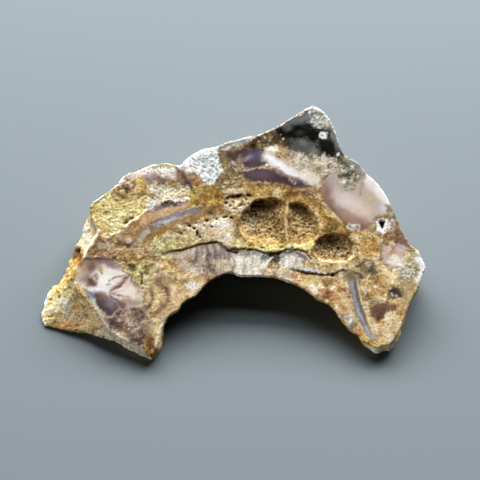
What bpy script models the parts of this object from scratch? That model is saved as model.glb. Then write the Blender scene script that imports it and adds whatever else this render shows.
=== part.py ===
"""A broken slab of chalcedony in its brown matrix: an arch of stone, sawn flat above and below.

The stone lies on its base with +Z up. Its upper face was sawn flat and slopes down towards -Y, its flanks
are broken rock, and hollows lined with spongy quartz open in the upper face. Places on the upper face were
read off a photograph of the stone as pixels, and on_face() turns them into metres.
"""

import math

import bmesh
import bpy
import numpy as np
from mathutils import Vector, noise

# Driving dimensions, in metres
STONE_WIDTH = 0.150
FACE_HEIGHT = 0.0160  # of the sawn face over the base, under the photograph's middle
FACE_TILT = math.radians(15.0)  # how far the sawn face leans towards -Y
BIG_VUG_DEPTH = 0.0026
SMALL_VUG_DEPTH = 0.0021
POCKET_DEPTH = 0.0008

# How the photograph looks at the stone, in its own pixels
PHOTO_MIDDLE = 240.0
WIDTH_IN_PIXELS = 387.0
PIXEL = STONE_WIDTH / WIDTH_IN_PIXELS
FOCAL_PIXELS = 1200.0
VIEW_ELEVATION = math.radians(62.0)

# The flank between the sawn face and the base, in metres and as shares of its height
EDGE_WEAR = 0.0012
EDGE_BULGE = 0.0005
BELLY_BULGE = 0.0006
BELLY_AT = 0.42
SHOULDER_OUT = 0.5
SHOULDER_DOWN = 0.6
UNDERCUT = 0.6

# How much the flanks, the crust and the hollows' walls stand in and out
FLANK_RELIEF = 0.0016
CRUST_RELIEF = 0.0003
CRUST_DEPTH = 0.0003
CRUST_EDGE_PIXELS = 4.0
VUG_LUMPS = 0.10
VUG_LUMPS_PER_PIXEL = 0.11

# How close to the sawn face the saw's work reaches, where the broken rock begins and is whole, and how far
# over the base it fades out
SAWN_SKIN = 0.0009
BROKEN_FROM = 0.0007
BROKEN_OVER = 0.004
BASE_FADE = 0.0025

# The grain of the broken rock and of the crust, in waves or facets a metre
FACETS = 95.0
SWELLS = 60.0
GRAINS = 330.0
CRUST_GRAINS = 420.0

# The two sunken bands: depth, and how many pixels below their ledge they come up again
BAND_DEPTH = 0.0004
BAND_RISE = 30.0
SECOND_BAND_DEPTH = 0.0003
SECOND_BAND_RISE = 16.0
LEDGE_PIXELS = 1.5

# Mesh sizes, and how the base is sawn off
VOXEL = 0.0008
TRIANGLES = 8800
SAW_CUT = 0.0003
FLAT_WITHIN = 0.00008
SHARP_ANGLE = math.radians(40.0)

# The broken left flank and the front of the left leg: x and y of the sawn face's edge, x and y of the
# flank's widest line, and how high that line lies, in millimetres
LEFT_FLANK = [
    (153, 355, 154, 361, 2.4),
    (147, 351, 148, 360, 2.6),
    (138, 346, 140, 356, 3.0),
    (129, 341, 131, 351, 3.4),
    (119, 336, 121, 346, 3.8),
    (110, 331, 111, 341, 4.1),
    (105, 325, 101, 338, 3.6),
    (102, 318, 91, 335, 3.0),
    (98, 312, 80, 332, 2.2),
    (94, 306, 68, 331, 1.5),
    (87, 299, 55, 328, 1.0),
    (81, 291, 44, 326, 0.9),
    (77, 287, 40, 317, 1.3),
    (74, 281, 42, 308, 2.0),
    (73, 275, 45, 298, 2.8),
    (74, 269, 50, 288, 3.6),
    (78, 264, 58, 282, 4.4),
    (82, 260, 63, 273, 5.1),
    (85, 255, 67, 262, 5.9),
    (88, 249, 71, 253, 6.1),
    (92, 243, 76, 245, 6.4),
    (96, 237, 80, 238, 6.8),
    (97, 231, 82, 230, 7.2),
    (94, 224, 86, 223, 7.6),
    (91, 216, 88, 215, 8.0),
]

# The sawn face's edge round the back, clockwise: x, y, and how far the base stands out there, in millimetres
BACK_EDGE = [
    (89, 207, 0.5),
    (93, 202, 1.0),
    (103, 195, 1.5),
    (110, 190, 2.0),
    (118, 183, 2.0),
    (122, 177, 1.0),
    (128, 173, 0.5),
    (138, 171, 1.5),
    (145, 167, 2.5),
    (153, 164, 3.0),
    (165, 163, 2.0),
    (176, 164, 0.5),
    (180, 166, -0.5),
    (184, 161, 0.5),
    (190, 156, 1.5),
    (198, 151, 2.5),
    (206, 148, 3.0),
    (215, 147, 2.5),
    (229, 141, 1.5),
    (238, 139, 1.0),
    (248, 136, 1.0),
    (263, 133, 1.5),
    (278, 125, 2.0),
    (294, 116, 1.5),
    (306, 108, 0.5),
    (313, 105, 0.0),
    (319, 108, -0.5),
    (326, 114, -0.5),
    (331, 121, 0.5),
    (335, 130, 1.5),
    (338, 139, 1.0),
    (342, 150, -0.5),
    (345, 155, -1.0),
    (355, 160, 0.0),
    (361, 165, 0.5),
    (367, 174, 0.5),
    (373, 179, 0.0),
    (380, 186, -0.5),
    (386, 195, -1.0),
    (392, 207, -1.0),
    (398, 221, -1.5),
    (401, 229, -1.5),
    (406, 236, -1.0),
    (411, 245, -0.5),
    (418, 250, -1.0),
    (422, 258, -1.0),
    (426, 267, -1.5),
    (421, 280, -1.5),
    (418, 288, -2.0),
    (411, 301, -1.5),
    (405, 317, -1.0),
]

# The broken tip of the right leg, like the left flank
RIGHT_TIP = [
    (400, 329, 401.5, 333, 3.2),
    (395, 339, 396.5, 345, 2.5),
    (389, 345, 390.5, 350.5, 2.0),
    (382, 346, 383, 351.5, 1.8),
    (376, 348, 377, 354.5, 1.7),
    (369, 345, 370, 350.5, 2.0),
    (362, 341, 362, 345, 2.6),
]

# The edge round the arch, like the back
ARCH_EDGE = [
    (359, 336, -3.0),
    (348, 329, -4.5),
    (340, 318, -5.0),
    (334, 309, -5.5),
    (328, 304, -6.0),
    (316, 299, -6.5),
    (310, 293, -7.0),
    (297, 285, -7.5),
    (285, 280, -7.5),
    (272, 277, -7.5),
    (258, 276, -7.5),
    (245, 276, -7.5),
    (237, 275, -7.5),
    (230, 272, -7.5),
    (223, 274, -7.5),
    (212, 279, -7.0),
    (203, 287, -6.5),
    (196, 296, -6.0),
    (184, 301, -5.5),
    (178, 310, -4.0),
    (169, 315, -2.0),
    (164, 323, -0.5),
    (161, 333, 1.5),
    (159, 342, 1.0),
    (156, 350, 0.0),
]

# Hollows in the sawn face. A thin wall is left standing between the two halves of the big one.
BIG_VUG_LEFT = [
    (238, 224),
    (241, 214),
    (248, 207),
    (254, 201),
    (266, 199),
    (278, 199),
    (284, 204),
    (283, 216),
    (285, 230),
    (287, 246),
    (272, 248),
    (256, 246),
    (245, 240),
    (240, 232),
]
BIG_VUG_RIGHT = [
    (289, 204),
    (299, 202),
    (308, 207),
    (316, 216),
    (320, 228),
    (318, 238),
    (313, 245),
    (300, 248),
    (291, 246),
    (289, 230),
    (287, 216),
]
SMALL_VUG = [
    (311, 254),
    (312, 247),
    (317, 240),
    (325, 236),
    (334, 233),
    (343, 235),
    (351, 242),
    (356, 249),
    (355, 257),
    (348, 262),
    (334, 264),
    (318, 261),
]
POCKET = [
    (224, 200),
    (230, 194),
    (239, 192),
    (248, 194),
    (254, 199),
    (248, 206),
    (240, 210),
    (230, 210),
]
# Each hollow with its depth, in the order they are cut
VUGS = [
    ("big_vug_left", BIG_VUG_LEFT, BIG_VUG_DEPTH),
    ("big_vug_right", BIG_VUG_RIGHT, BIG_VUG_DEPTH * 0.75),
    ("small_vug", SMALL_VUG, SMALL_VUG_DEPTH),
    ("pocket", POCKET, POCKET_DEPTH),
]
# How a hollow narrows: share of its depth, width there as a share of the opening, and how far its middle
# moves back, as a share of the opening's height. It is steep at the back and comes up gently at the front.
VUG_LEVELS = [
    (-0.25, 1.0, 0.0),
    (0.0, 1.0, 0.0),
    (0.35, 0.90, 0.04),
    (0.75, 0.72, 0.11),
    (1.0, 0.48, 0.20),
]

# The grey band under the ledge: its upper side is the ledge, its lower side the arch
LEDGE = [
    (160, 253),
    (176, 250),
    (190, 247),
    (205, 243),
    (217, 241),
    (228, 249),
    (250, 249),
    (266, 254),
    (280, 252),
    (296, 250),
    (307, 260),
]
BAND_FOOT = [(305, 290), (285, 284), (260, 281), (230, 278), (212, 284), (190, 290), (172, 272)]

# The second ledge, in the right leg
SECOND_LEDGE = [(291, 270), (308, 272), (325, 275), (343, 271), (356, 273), (364, 278)]
SECOND_BAND_FOOT = [(362, 290), (340, 291), (318, 289), (296, 283)]

# The field of rough yellow crust, which the saw didn't reach
CRUST = [
    (91, 207),
    (104, 197),
    (118, 186),
    (134, 184),
    (150, 190),
    (160, 184),
    (182, 182),
    (190, 194),
    (176, 203),
    (158, 205),
    (146, 212),
    (136, 221),
    (124, 232),
    (108, 238),
    (98, 231),
    (92, 220),
]


def view_frame():
    """The photograph's eye point and its forward and up directions."""
    forward = Vector((0.0, math.cos(VIEW_ELEVATION), -math.sin(VIEW_ELEVATION)))
    up = Vector((0.0, math.sin(VIEW_ELEVATION), math.cos(VIEW_ELEVATION)))
    aim = Vector((0.0, 0.0, FACE_HEIGHT))
    return aim - forward * (PIXEL * FOCAL_PIXELS), forward, up


EYE, FORWARD, UP = view_frame()
FACE_NORMAL = Vector((0.0, -math.sin(FACE_TILT), math.cos(FACE_TILT)))
FACE_POINT = Vector((0.0, 0.0, FACE_HEIGHT))


def seen_on(x, y, point, normal):
    """The place where the photograph's pixel (x, y) meets the plane through point with that normal."""
    across = (x - PHOTO_MIDDLE) / FOCAL_PIXELS
    upward = (PHOTO_MIDDLE - y) / FOCAL_PIXELS
    ray = FORWARD + Vector((across, 0, 0)) + UP * upward
    return EYE + ray * ((point - EYE).dot(normal) / ray.dot(normal))


def on_face(x, y):
    return seen_on(x, y, FACE_POINT, FACE_NORMAL)


def at_height(x, y, height):
    return seen_on(x, y, Vector((0, 0, height)), Vector((0, 0, 1)))


def outward(before, after):
    """The level direction that points out of the outline, which runs clockwise."""
    along = after - before
    return Vector((-along.y, along.x, 0.0)).normalized()


def flank_rings():
    """Four rings of points round the stone, from the edge of the sawn face down to the base."""
    edges = LEFT_FLANK + BACK_EDGE + RIGHT_TIP + ARCH_EDGE
    rims = [on_face(x, y) for x, y, *_ in edges]
    count = len(rims)
    rings = []
    for i, (rim, (_, _, *flank)) in enumerate(zip(rims, edges)):
        out = outward(rims[i - 1], rims[(i + 1) % count])
        if len(flank) == 3:
            widest_x, widest_y, height = flank
            belly = at_height(widest_x, widest_y, height / 1000.0)
            shoulder = rim.lerp(belly, SHOULDER_OUT)
            shoulder.z = rim.z + (belly.z - rim.z) * SHOULDER_DOWN
            base = belly - out * (belly.z * UNDERCUT)
        else:
            lean = flank[0] / 1000.0
            shoulder = rim + out * EDGE_BULGE - Vector((0, 0, EDGE_WEAR))
            belly = rim + out * (lean / 2 + BELLY_BULGE)
            belly.z = rim.z * BELLY_AT
            base = rim + out * lean
        base.z = 0.0
        rings.append((rim, shoulder, belly, base))
    return rings


def make_block():
    """The slab before it is broken: a loft down the four rings, closed by the sawn face and the base."""
    mesh = bmesh.new()
    columns = [[mesh.verts.new(point) for point in ring] for ring in flank_rings()]
    for i, column in enumerate(columns):
        last = columns[i - 1]
        for level in range(len(column) - 1):
            mesh.faces.new((last[level], column[level], column[level + 1], last[level + 1]))
    mesh.faces.new([column[0] for column in columns])
    mesh.faces.new([column[-1] for column in reversed(columns)])
    bmesh.ops.recalc_face_normals(mesh, faces=mesh.faces)
    return mesh_object("chalcedony", mesh)


def mesh_object(name, mesh):
    data = bpy.data.meshes.new(name)
    mesh.to_mesh(data)
    mesh.free()
    return bpy.data.objects.new(name, data)


def make_vug(name, outline, depth):
    """A lumpy bowl that cuts one hollow: rings of its outline, drawn in and back as they go down."""
    mesh = bmesh.new()
    middle_x = sum(x for x, _ in outline) / len(outline)
    middle_y = sum(y for _, y in outline) / len(outline)
    height = max(y for _, y in outline) - min(y for _, y in outline)
    rings = []
    for sinks, width, back in VUG_LEVELS:
        ring = []
        for x, y in outline:
            lump = width
            if sinks > 0:
                place = Vector((x * VUG_LUMPS_PER_PIXEL, y * VUG_LUMPS_PER_PIXEL, sinks * 2.0))
                lump += width * VUG_LUMPS * noise.noise(place)
            across = middle_x + (x - middle_x) * lump
            down = middle_y - back * height + (y - middle_y) * lump
            ring.append(mesh.verts.new(on_face(across, down) - FACE_NORMAL * (depth * sinks)))
        rings.append(ring)
    for upper, lower in zip(rings, rings[1:]):
        for i in range(len(outline)):
            mesh.faces.new((upper[i - 1], upper[i], lower[i], lower[i - 1]))
    mesh.faces.new(rings[0])
    mesh.faces.new(reversed(rings[-1]))
    bmesh.ops.recalc_face_normals(mesh, faces=mesh.faces)
    cutter = mesh_object(name, mesh)
    cutter.hide_render = True
    cutter.display_type = "WIRE"
    return cutter


def reach_into(x, y, outline):
    """How deep each point (x, y) lies inside a closed outline, in pixels; negative outside it."""
    inside = np.zeros(len(x), bool)
    nearest = np.full(len(x), np.inf)
    for (ax, ay), (bx, by) in zip(outline, outline[1:] + outline[:1]):
        length = (bx - ax) ** 2 + (by - ay) ** 2
        share = np.clip(((x - ax) * (bx - ax) + (y - ay) * (by - ay)) / length, 0, 1)
        nearest = np.minimum(nearest, np.hypot(x - ax - share * (bx - ax), y - ay - share * (by - ay)))
        if ay != by:
            crosses = (ay > y) != (by > y)
            inside ^= crosses & (x < ax + (y - ay) * (bx - ax) / (by - ay))
    return np.where(inside, nearest, -nearest)


def under_ledge(x, y, ledge, foot, rise):
    """1 at the foot of a ledge drawn from left to right, falling to 0 where the band has come up again."""
    xs, ys = np.array(ledge, float).T
    below = y - np.interp(x, xs, ys)
    inside = np.clip(reach_into(x, y, ledge + foot) / LEDGE_PIXELS, 0, 1)
    return inside * np.clip(1.0 - below / rise, 0.0, 1.0)


def sunk(x, y):
    """How far the sawn face is sunk at each pixel, in metres, and how much of the pixel is crust."""
    first = under_ledge(x, y, LEDGE, BAND_FOOT, BAND_RISE) * BAND_DEPTH
    second = under_ledge(x, y, SECOND_LEDGE, SECOND_BAND_FOOT, SECOND_BAND_RISE) * SECOND_BAND_DEPTH
    crust = np.clip(reach_into(x, y, CRUST) / CRUST_EDGE_PIXELS, 0, 1)
    return np.maximum(np.maximum(first, second), CRUST_DEPTH * crust), crust


def pixels_of(points):
    """Where the photograph shows each point, as two arrays of pixels."""
    rays = points - np.array(EYE)
    away = rays @ np.array(FORWARD)
    across = rays[:, 0] / away
    upward = rays @ np.array(UP) / away
    return PHOTO_MIDDLE + FOCAL_PIXELS * across, PHOTO_MIDDLE - FOCAL_PIXELS * upward


def broken(point):
    """How far the broken rock stands out at a point, from -1 to 1: facets, a swell and a fine grain."""
    nearest, second, *_ = noise.voronoi(point * FACETS)[0]
    facet = (second - nearest) * 1.3 - 0.45
    swell = noise.noise(point * SWELLS)
    grain = noise.fractal(point * GRAINS, 0.9, 2.1, 3)
    return 0.55 * swell + 0.5 * facet + 0.28 * grain


def read_vectors(data, name):
    """One vector for each point of the mesh, as rows."""
    values = np.empty(len(data.vertices) * 3, np.float32)
    data.vertices.foreach_get(name, values)
    return values.reshape(-1, 3).astype(float)


def carve(stone):
    """Breaks the flanks of the block and sinks its crust and bands, leaving the sawn planes flat."""
    points = read_vectors(stone.data, "co")
    normals = read_vectors(stone.data, "normal")
    under_face = (np.array(FACE_POINT) - points) @ np.array(FACE_NORMAL)
    x, y = pixels_of(points)
    depth, crust = sunk(x, y)
    faces_up = np.clip(normals @ np.array(FACE_NORMAL) * 2 - 0.4, 0, 1)
    on_top = np.clip(1.0 - under_face / SAWN_SKIN, 0, 1) * faces_up
    flank = np.clip((under_face - BROKEN_FROM) / BROKEN_OVER, 0, 1) * np.clip(points[:, 2] / BASE_FADE, 0, 1)
    rough = np.array([broken(Vector(point)) for point in points])
    lumps = np.array([noise.fractal(Vector(point) * CRUST_GRAINS, 0.8, 2.0, 3) for point in points])
    points += normals * (flank * rough * FLANK_RELIEF)[:, None]
    points -= np.outer(on_top * (depth - crust * lumps * CRUST_RELIEF), np.array(FACE_NORMAL))
    stone.data.vertices.foreach_set("co", points.astype(np.float32).ravel())
    stone.data.update()


def applied(stone, kind, **settings):
    """Adds a modifier with these settings and applies it."""
    modifier = stone.modifiers.new(kind.title(), kind)
    for key, value in settings.items():
        setattr(modifier, key, value)
    graph = bpy.context.evaluated_depsgraph_get()
    data = bpy.data.meshes.new_from_object(stone.evaluated_get(graph))
    stone.modifiers.clear()
    old, stone.data = stone.data, data
    bpy.data.meshes.remove(old)


def saw_base(stone):
    """Cuts the stone's underside off flat and closes it with one plane."""
    mesh = bmesh.new()
    mesh.from_mesh(stone.data)
    everything = mesh.verts[:] + mesh.edges[:] + mesh.faces[:]
    bmesh.ops.bisect_plane(
        mesh, geom=everything, dist=1e-6, plane_co=(0, 0, SAW_CUT), plane_no=(0, 0, -1), clear_outer=True
    )
    rim = [edge for edge in mesh.edges if edge.is_boundary]
    bmesh.ops.holes_fill(mesh, edges=rim, sides=0)
    bmesh.ops.triangulate(mesh, faces=mesh.faces)
    bmesh.ops.recalc_face_normals(mesh, faces=mesh.faces)
    mesh.to_mesh(stone.data)
    mesh.free()


def flatten_base(stone):
    """Puts the points of the base exactly in its plane, at a height of zero."""
    for vert in stone.data.vertices:
        height = vert.co.z - SAW_CUT
        vert.co.z = 0.0 if abs(height) < FLAT_WITHIN else height


def centre(stone):
    """Puts the origin at the middle of the stone's box, on its base."""
    points = read_vectors(stone.data, "co")
    points[:, :2] -= (points[:, :2].min(0) + points[:, :2].max(0)) / 2
    stone.data.vertices.foreach_set("co", points.astype(np.float32).ravel())
    stone.data.shade_smooth()
    stone.data.set_sharp_from_angle(angle=SHARP_ANGLE)


def stone_material():
    material = bpy.data.materials.new("chalcedony")
    material.use_nodes = True
    shader = material.node_tree.nodes["Principled BSDF"]
    shader.inputs["Base Color"].default_value = (0.45, 0.30, 0.14, 1.0)
    shader.inputs["Roughness"].default_value = 0.45
    shader.inputs["Metallic"].default_value = 0.0
    return material


def collection(name):
    found = bpy.data.collections.new(name)
    bpy.context.scene.collection.children.link(found)
    return found


def main():
    for thing in list(bpy.data.objects):
        bpy.data.objects.remove(thing)
    stones, cutters = collection("chalcedony"), collection("cutters")
    stone = make_block()
    stones.objects.link(stone)
    applied(stone, "REMESH", mode="VOXEL", voxel_size=VOXEL)
    carve(stone)
    for vug in VUGS:
        cutter = make_vug(*vug)
        cutters.objects.link(cutter)
        applied(stone, "BOOLEAN", operation="DIFFERENCE", object=cutter, solver="EXACT")
    applied(stone, "REMESH", mode="VOXEL", voxel_size=VOXEL)
    saw_base(stone)
    triangles = sum(len(face.vertices) - 2 for face in stone.data.polygons)
    applied(stone, "DECIMATE", ratio=TRIANGLES / triangles)
    flatten_base(stone)
    centre(stone)
    stone.data.materials.clear()
    stone.data.materials.append(stone_material())


main()
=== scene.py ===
"""A slab of chalcedony in brown matrix, sawn and half polished, lying on grey paper.

The stone is one closed mesh that takes the place of the plain solid. Its form follows the same values as
the solid. Its relief and its colours are worked out in code, point by point. Grounds and marks are drawn as
outlines, lines and spots in the pixels of the photograph's frame, and noise that runs through the stone
breaks up their edges.
"""
import itertools
import math

import bmesh
import bpy
import numpy as np
from mathutils import Matrix, Vector, noise


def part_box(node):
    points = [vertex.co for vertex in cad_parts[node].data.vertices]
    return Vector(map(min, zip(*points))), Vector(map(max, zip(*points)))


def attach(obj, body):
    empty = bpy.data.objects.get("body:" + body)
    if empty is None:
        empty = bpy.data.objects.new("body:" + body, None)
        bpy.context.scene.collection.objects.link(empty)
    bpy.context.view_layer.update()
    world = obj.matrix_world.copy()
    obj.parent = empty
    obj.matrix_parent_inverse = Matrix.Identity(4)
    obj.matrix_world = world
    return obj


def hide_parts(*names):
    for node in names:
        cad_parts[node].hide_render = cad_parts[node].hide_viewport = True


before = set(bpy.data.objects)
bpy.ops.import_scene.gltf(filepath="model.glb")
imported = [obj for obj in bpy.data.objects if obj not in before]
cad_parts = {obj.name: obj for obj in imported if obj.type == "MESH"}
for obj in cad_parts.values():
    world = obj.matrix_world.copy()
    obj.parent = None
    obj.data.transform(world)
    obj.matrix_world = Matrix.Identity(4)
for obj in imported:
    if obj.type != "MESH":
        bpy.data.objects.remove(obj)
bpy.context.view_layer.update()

NODE = "chalcedony"

# Millimetres in a metre
TO_MM = 1000.0

# Driving dimensions, in metres, as in the solid
STONE_WIDTH = 0.150
FACE_HEIGHT = 0.0160
FACE_TILT = math.radians(15.0)
BIG_VUG_DEPTH = 0.0026
SMALL_VUG_DEPTH = 0.0021
POCKET_DEPTH = 0.0008

# How the photograph looks at the stone, in its own pixels
FRAME_PIXELS = 480
PHOTO_MIDDLE = 240.0
WIDTH_IN_PIXELS = 387.0
PIXEL = STONE_WIDTH / WIDTH_IN_PIXELS
FOCAL_PIXELS = 1200.0
VIEW_ELEVATION = math.radians(62.0)
SENSOR_MM = 36.0

# The flank between the sawn face and the base, in metres and as shares of its height
EDGE_WEAR = 0.0006
EDGE_BULGE = 0.0002
BELLY_BULGE = 0.0006
BELLY_AT = 0.42
SHOULDER_OUT = 0.5
SHOULDER_DOWN = 0.6
UNDERCUT = 0.6

# The two sunken bands: depth, how many pixels below their ledge they come up again, and the ledge's width
BAND_DEPTH = 0.0004
BAND_RISE = 30.0
SECOND_BAND_DEPTH = 0.0003
SECOND_BAND_RISE = 16.0
LEDGE_PIXELS = 1.2

# Mesh size, in metres. Faces whose normals rise more than this are split once more.
VOXEL = 0.00079
SPLIT_ABOVE = 0.3

# The broken left flank and the front of the left leg: x and y of the sawn face's edge, x and y of the
# flank's widest line, and how high that line lies, in millimetres
LEFT_FLANK = [
    (153, 355, 154, 361, 2.4), (147, 351, 148, 360, 2.6), (138, 346, 140, 356, 3.0),
    (129, 341, 131, 351, 3.4), (119, 336, 121, 346, 3.8), (110, 331, 111, 341, 4.1),
    (105, 325, 101, 338, 3.6), (102, 318, 91, 335, 3.0), (98, 312, 80, 332, 2.2), (94, 306, 68, 331, 1.5),
    (87, 299, 55, 328, 1.0), (81, 291, 44, 326, 0.9), (77, 287, 40, 317, 1.3), (74, 281, 42, 308, 2.0),
    (73, 275, 45, 298, 2.8), (74, 269, 50, 288, 3.6), (78, 264, 58, 282, 4.4), (82, 260, 63, 273, 5.1),
    (85, 255, 67, 262, 5.9), (88, 249, 71, 253, 6.1), (92, 243, 76, 245, 6.4), (96, 237, 80, 238, 6.8),
    (97, 231, 82, 230, 7.2), (94, 224, 86, 223, 7.6), (91, 216, 88, 215, 8.0),
]

# The sawn face's edge round the back, clockwise: x, y, and how far the base stands out there, in millimetres
BACK_EDGE = [
    (89, 207, 0.5), (93, 202, 1.0), (103, 195, 1.5), (110, 190, 2.0), (118, 183, 2.0), (122, 177, 1.0),
    (128, 173, 0.5), (138, 171, 1.5), (145, 167, 2.5), (153, 164, 3.0), (165, 163, 2.0), (176, 164, 0.5),
    (180, 166, -0.5), (184, 161, 0.5), (190, 156, 1.5), (198, 151, 2.5), (206, 148, 3.0), (215, 147, 2.5),
    (229, 141, 1.5), (238, 139, 1.0), (248, 136, 1.0), (263, 133, 1.5), (278, 125, 2.0), (294, 116, 1.5),
    (306, 108, 0.5), (313, 105, 0.0), (319, 108, -0.5), (326, 114, -0.5), (331, 121, 0.5), (335, 130, 1.5),
    (338, 139, 1.0), (342, 150, -0.5), (345, 155, -1.0), (355, 160, 0.0), (361, 165, 0.5), (367, 174, 0.5),
    (373, 179, 0.0), (380, 186, -0.5), (386, 195, -1.0), (392, 207, -1.0), (398, 221, -1.5),
    (401, 229, -1.5), (406, 236, -1.0), (411, 245, -0.5), (418, 250, -1.0), (422, 258, -1.0),
    (426, 267, -1.5), (421, 280, -1.5), (418, 288, -2.0), (411, 301, -1.5), (405, 317, -1.0),
]
# The broken tip of the right leg, like the left flank, and then the edge round the arch, like the back
RIGHT_TIP = [
    (400, 329, 401.5, 333, 3.2), (395, 339, 396.5, 345, 2.5), (389, 345, 390.5, 350.5, 2.0),
    (382, 346, 383, 351.5, 1.8), (376, 348, 377, 354.5, 1.7), (369, 345, 370, 350.5, 2.0),
    (362, 341, 362, 345, 2.6),
]
ARCH_EDGE = [
    (359, 336, -3.0), (348, 329, -4.5), (340, 318, -5.0), (334, 309, -5.5), (328, 304, -6.0),
    (316, 299, -6.5), (310, 293, -7.0), (297, 285, -7.5), (285, 280, -7.5), (272, 277, -7.5),
    (258, 276, -7.5), (245, 276, -7.5), (237, 275, -7.5), (230, 272, -7.5), (223, 274, -7.5),
    (212, 279, -7.0), (203, 287, -6.5), (196, 296, -6.0), (184, 301, -5.5), (178, 310, -4.0),
    (169, 315, -2.0), (164, 323, -0.5), (161, 333, 1.5), (159, 342, 1.0), (156, 350, 0.0),
]

# Hollows in the sawn face. A thin wall is left standing between the two halves of the big one.
BIG_VUG_LEFT = [
    (238, 224), (241, 214), (248, 207), (254, 201), (266, 199), (278, 199), (284, 204), (283, 216),
    (285, 230), (287, 246), (272, 248), (256, 246), (245, 240), (240, 232),
]
BIG_VUG_RIGHT = [
    (289, 204), (299, 202), (308, 207), (316, 216), (320, 228), (318, 238), (313, 245), (300, 248),
    (291, 246), (289, 230), (287, 216),
]
SMALL_VUG = [
    (311, 254), (312, 247), (317, 240), (325, 236), (334, 233), (343, 235), (351, 242), (356, 249),
    (355, 257), (348, 262), (334, 264), (318, 261),
]
POCKET = [(224, 200), (230, 194), (239, 192), (248, 194), (254, 199), (248, 206), (240, 210), (230, 210)]
VUGS = [
    (BIG_VUG_LEFT, BIG_VUG_DEPTH), (BIG_VUG_RIGHT, BIG_VUG_DEPTH * 0.75), (SMALL_VUG, SMALL_VUG_DEPTH),
    (POCKET, POCKET_DEPTH * 0.6),
]
# How a hollow narrows: share of its depth, width there as a share of the opening, and how far its middle
# moves back, as a share of the opening's height. It is steep at the back and comes up gently at the front.
VUG_LEVELS = [(-0.25, 1.0, 0.0), (0.0, 1.0, 0.0), (0.35, 0.90, 0.04), (0.75, 0.72, 0.11), (1.0, 0.48, 0.20)]
# The lumps of its wall: height as a share of its width, and how fast they change along the outline and down
VUG_LUMPS = 0.10
VUG_LUMPS_PER_PIXEL = 0.11
VUG_LUMPS_DOWN = 2.0

# The two ledges, drawn from left to right, and the feet of the bands below them, from right to left
LEDGE = [
    (160, 253), (176, 250), (190, 247), (205, 243), (217, 241), (228, 249), (250, 249), (266, 254),
    (280, 252), (296, 250), (307, 260),
]
BAND_FOOT = [(305, 290), (285, 284), (260, 281), (230, 278), (212, 284), (190, 290), (172, 272)]
SECOND_LEDGE = [(291, 270), (308, 272), (325, 275), (343, 271), (356, 273), (364, 278)]
SECOND_BAND_FOOT = [(362, 290), (340, 291), (318, 289), (296, 283)]

# How much light the whitest paint gives back
WHITEST = 0.88

# Where the arch that the stone bends round has its centre, in pixels. The rock is streaked along it.
ARCH_CENTRE = (252.0, 377.0)
STREAK_RADIUS = 150.0
STREAK_ALONG = 0.22
STREAK_DOWN = 0.5

# How marks get natural edges: waves of so many pixels, where the stone is seen and where it is hidden, with
# their size in millimetres, and grit, of which lines and ovals take a share
SEEN_WAVES = 2.2
HIDDEN_WAVES = 5.0
WAVE_SIZE = 3.2
GRIT = 1.5
EDGE_GRIT = 0.7

# How ragged a mark may be at most: so much, and its width over so many pixels besides
AREA_LIMIT = (0.3, 14)
LINE_LIMIT = (0.45, 9)
OVAL_LIMIT = (0.25, 6)

# How noise picks a ground's tone, how it shades a single colour, and how it warms a ground's red and blue
TONE_MIDDLE = 0.49
TONE_SHARES = {"patches": 0.20, "mottle": 0.30, "speck": 0.14, "cloud": 0.06, "crackle": 0.15}
MOTTLE_IN_COLOUR = 0.07
SPECK_IN_COLOUR = 0.09
WARMTH = (0.07, 0.0, -0.16)

# Relief: how high the rock's grain and the fibres stand, how far the crusts and the sponge lie below the sawn
# face, and how deep the broken sides are chipped, with what breaking took off them evenly
ROCK_GRAIN_MM = 0.05
FIBRE_MM = 0.06
CRUST_MM = 0.25
SPONGE_MM = 0.25
CHIPS_MM = 1.3
SMALL_CHIPS_MM = 0.5
BROKEN_OFF_MM = 0.285

# How the grey band's fibres are drawn out: how fast their noise changes in x, y and z
COARSE_FIBRE = (2.4, 0.35, 0.35)
FINE_FIBRE = (5.0, 0.6, 0.6)

# Where a point begins to count as sawn and where it fully does: its distance from the face's plane, and how
# far it looks along the face's normal. What lies lower than BASE_MM is put on the base.
SAWN_WITHIN_MM = (0.6, 0.3)
SAWN_LOOKS_UP = (0.7, 0.95)
BASE_MM = 0.25

# The druse's polish, from 0 to 1
CRYSTAL_POLISH = 0.4

# The stone's shader. Pairs are for matt and for polished stone.
STONE_IOR = 1.54
STONE_SPECULAR = 0.25
STONE_ROUGHNESS = (0.85, 0.14)
# Its grain is noise finer than the mesh. Over its span it scales the paint, from dark to light.
GRAIN = {"Scale": 1300.0, "Detail": 2.0, "Roughness": 0.7}
GRAIN_SPAN = (0.3, 0.7)
GRAIN_LIGHT = (0.48, 1.42)
GRAIN_HEIGHT = (1.0, 0.02)
BUMP_STRENGTH = 0.6
BUMP_DISTANCE = 0.0002

# The floor and the sky
FLOOR_GREY = (110, 121, 127)
FLOOR_ROUGHNESS = 0.9
FLOOR_REACH = 1.5
SKY_TINT = (0.92, 0.97, 1.0)
SKY_STRENGTH = 0.004

# The soft boxes: place, width and height in metres, watts and tint
WINDOW_WHITE = (1.0, 0.99, 0.97)
WARM_WHITE = (1.0, 0.98, 0.95)
LAMPS = [
    ("key", (0.06, 1.04, 0.60), 2.1, 0.47, 66.0, WINDOW_WHITE),
    ("upper", (0.04, 0.80, 0.89), 1.4, 0.38, 7.4, WINDOW_WHITE),
    ("front", (-0.72, -1.02, 0.045), 1.3, 0.06, 1.6, WARM_WHITE),
    ("left", (-1.22, -0.40, 0.06), 1.0, 0.08, 7.0, WARM_WHITE),
]


# Marks: what is painted on the stone, in the photograph's pixels. A paint is one colour, as it looks from 0
# to 255, or a ground, which is mixed from its stops by noise: from the first in the dips to the last on the
# lumps. What a mark does besides is named at Surface.put.

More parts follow.
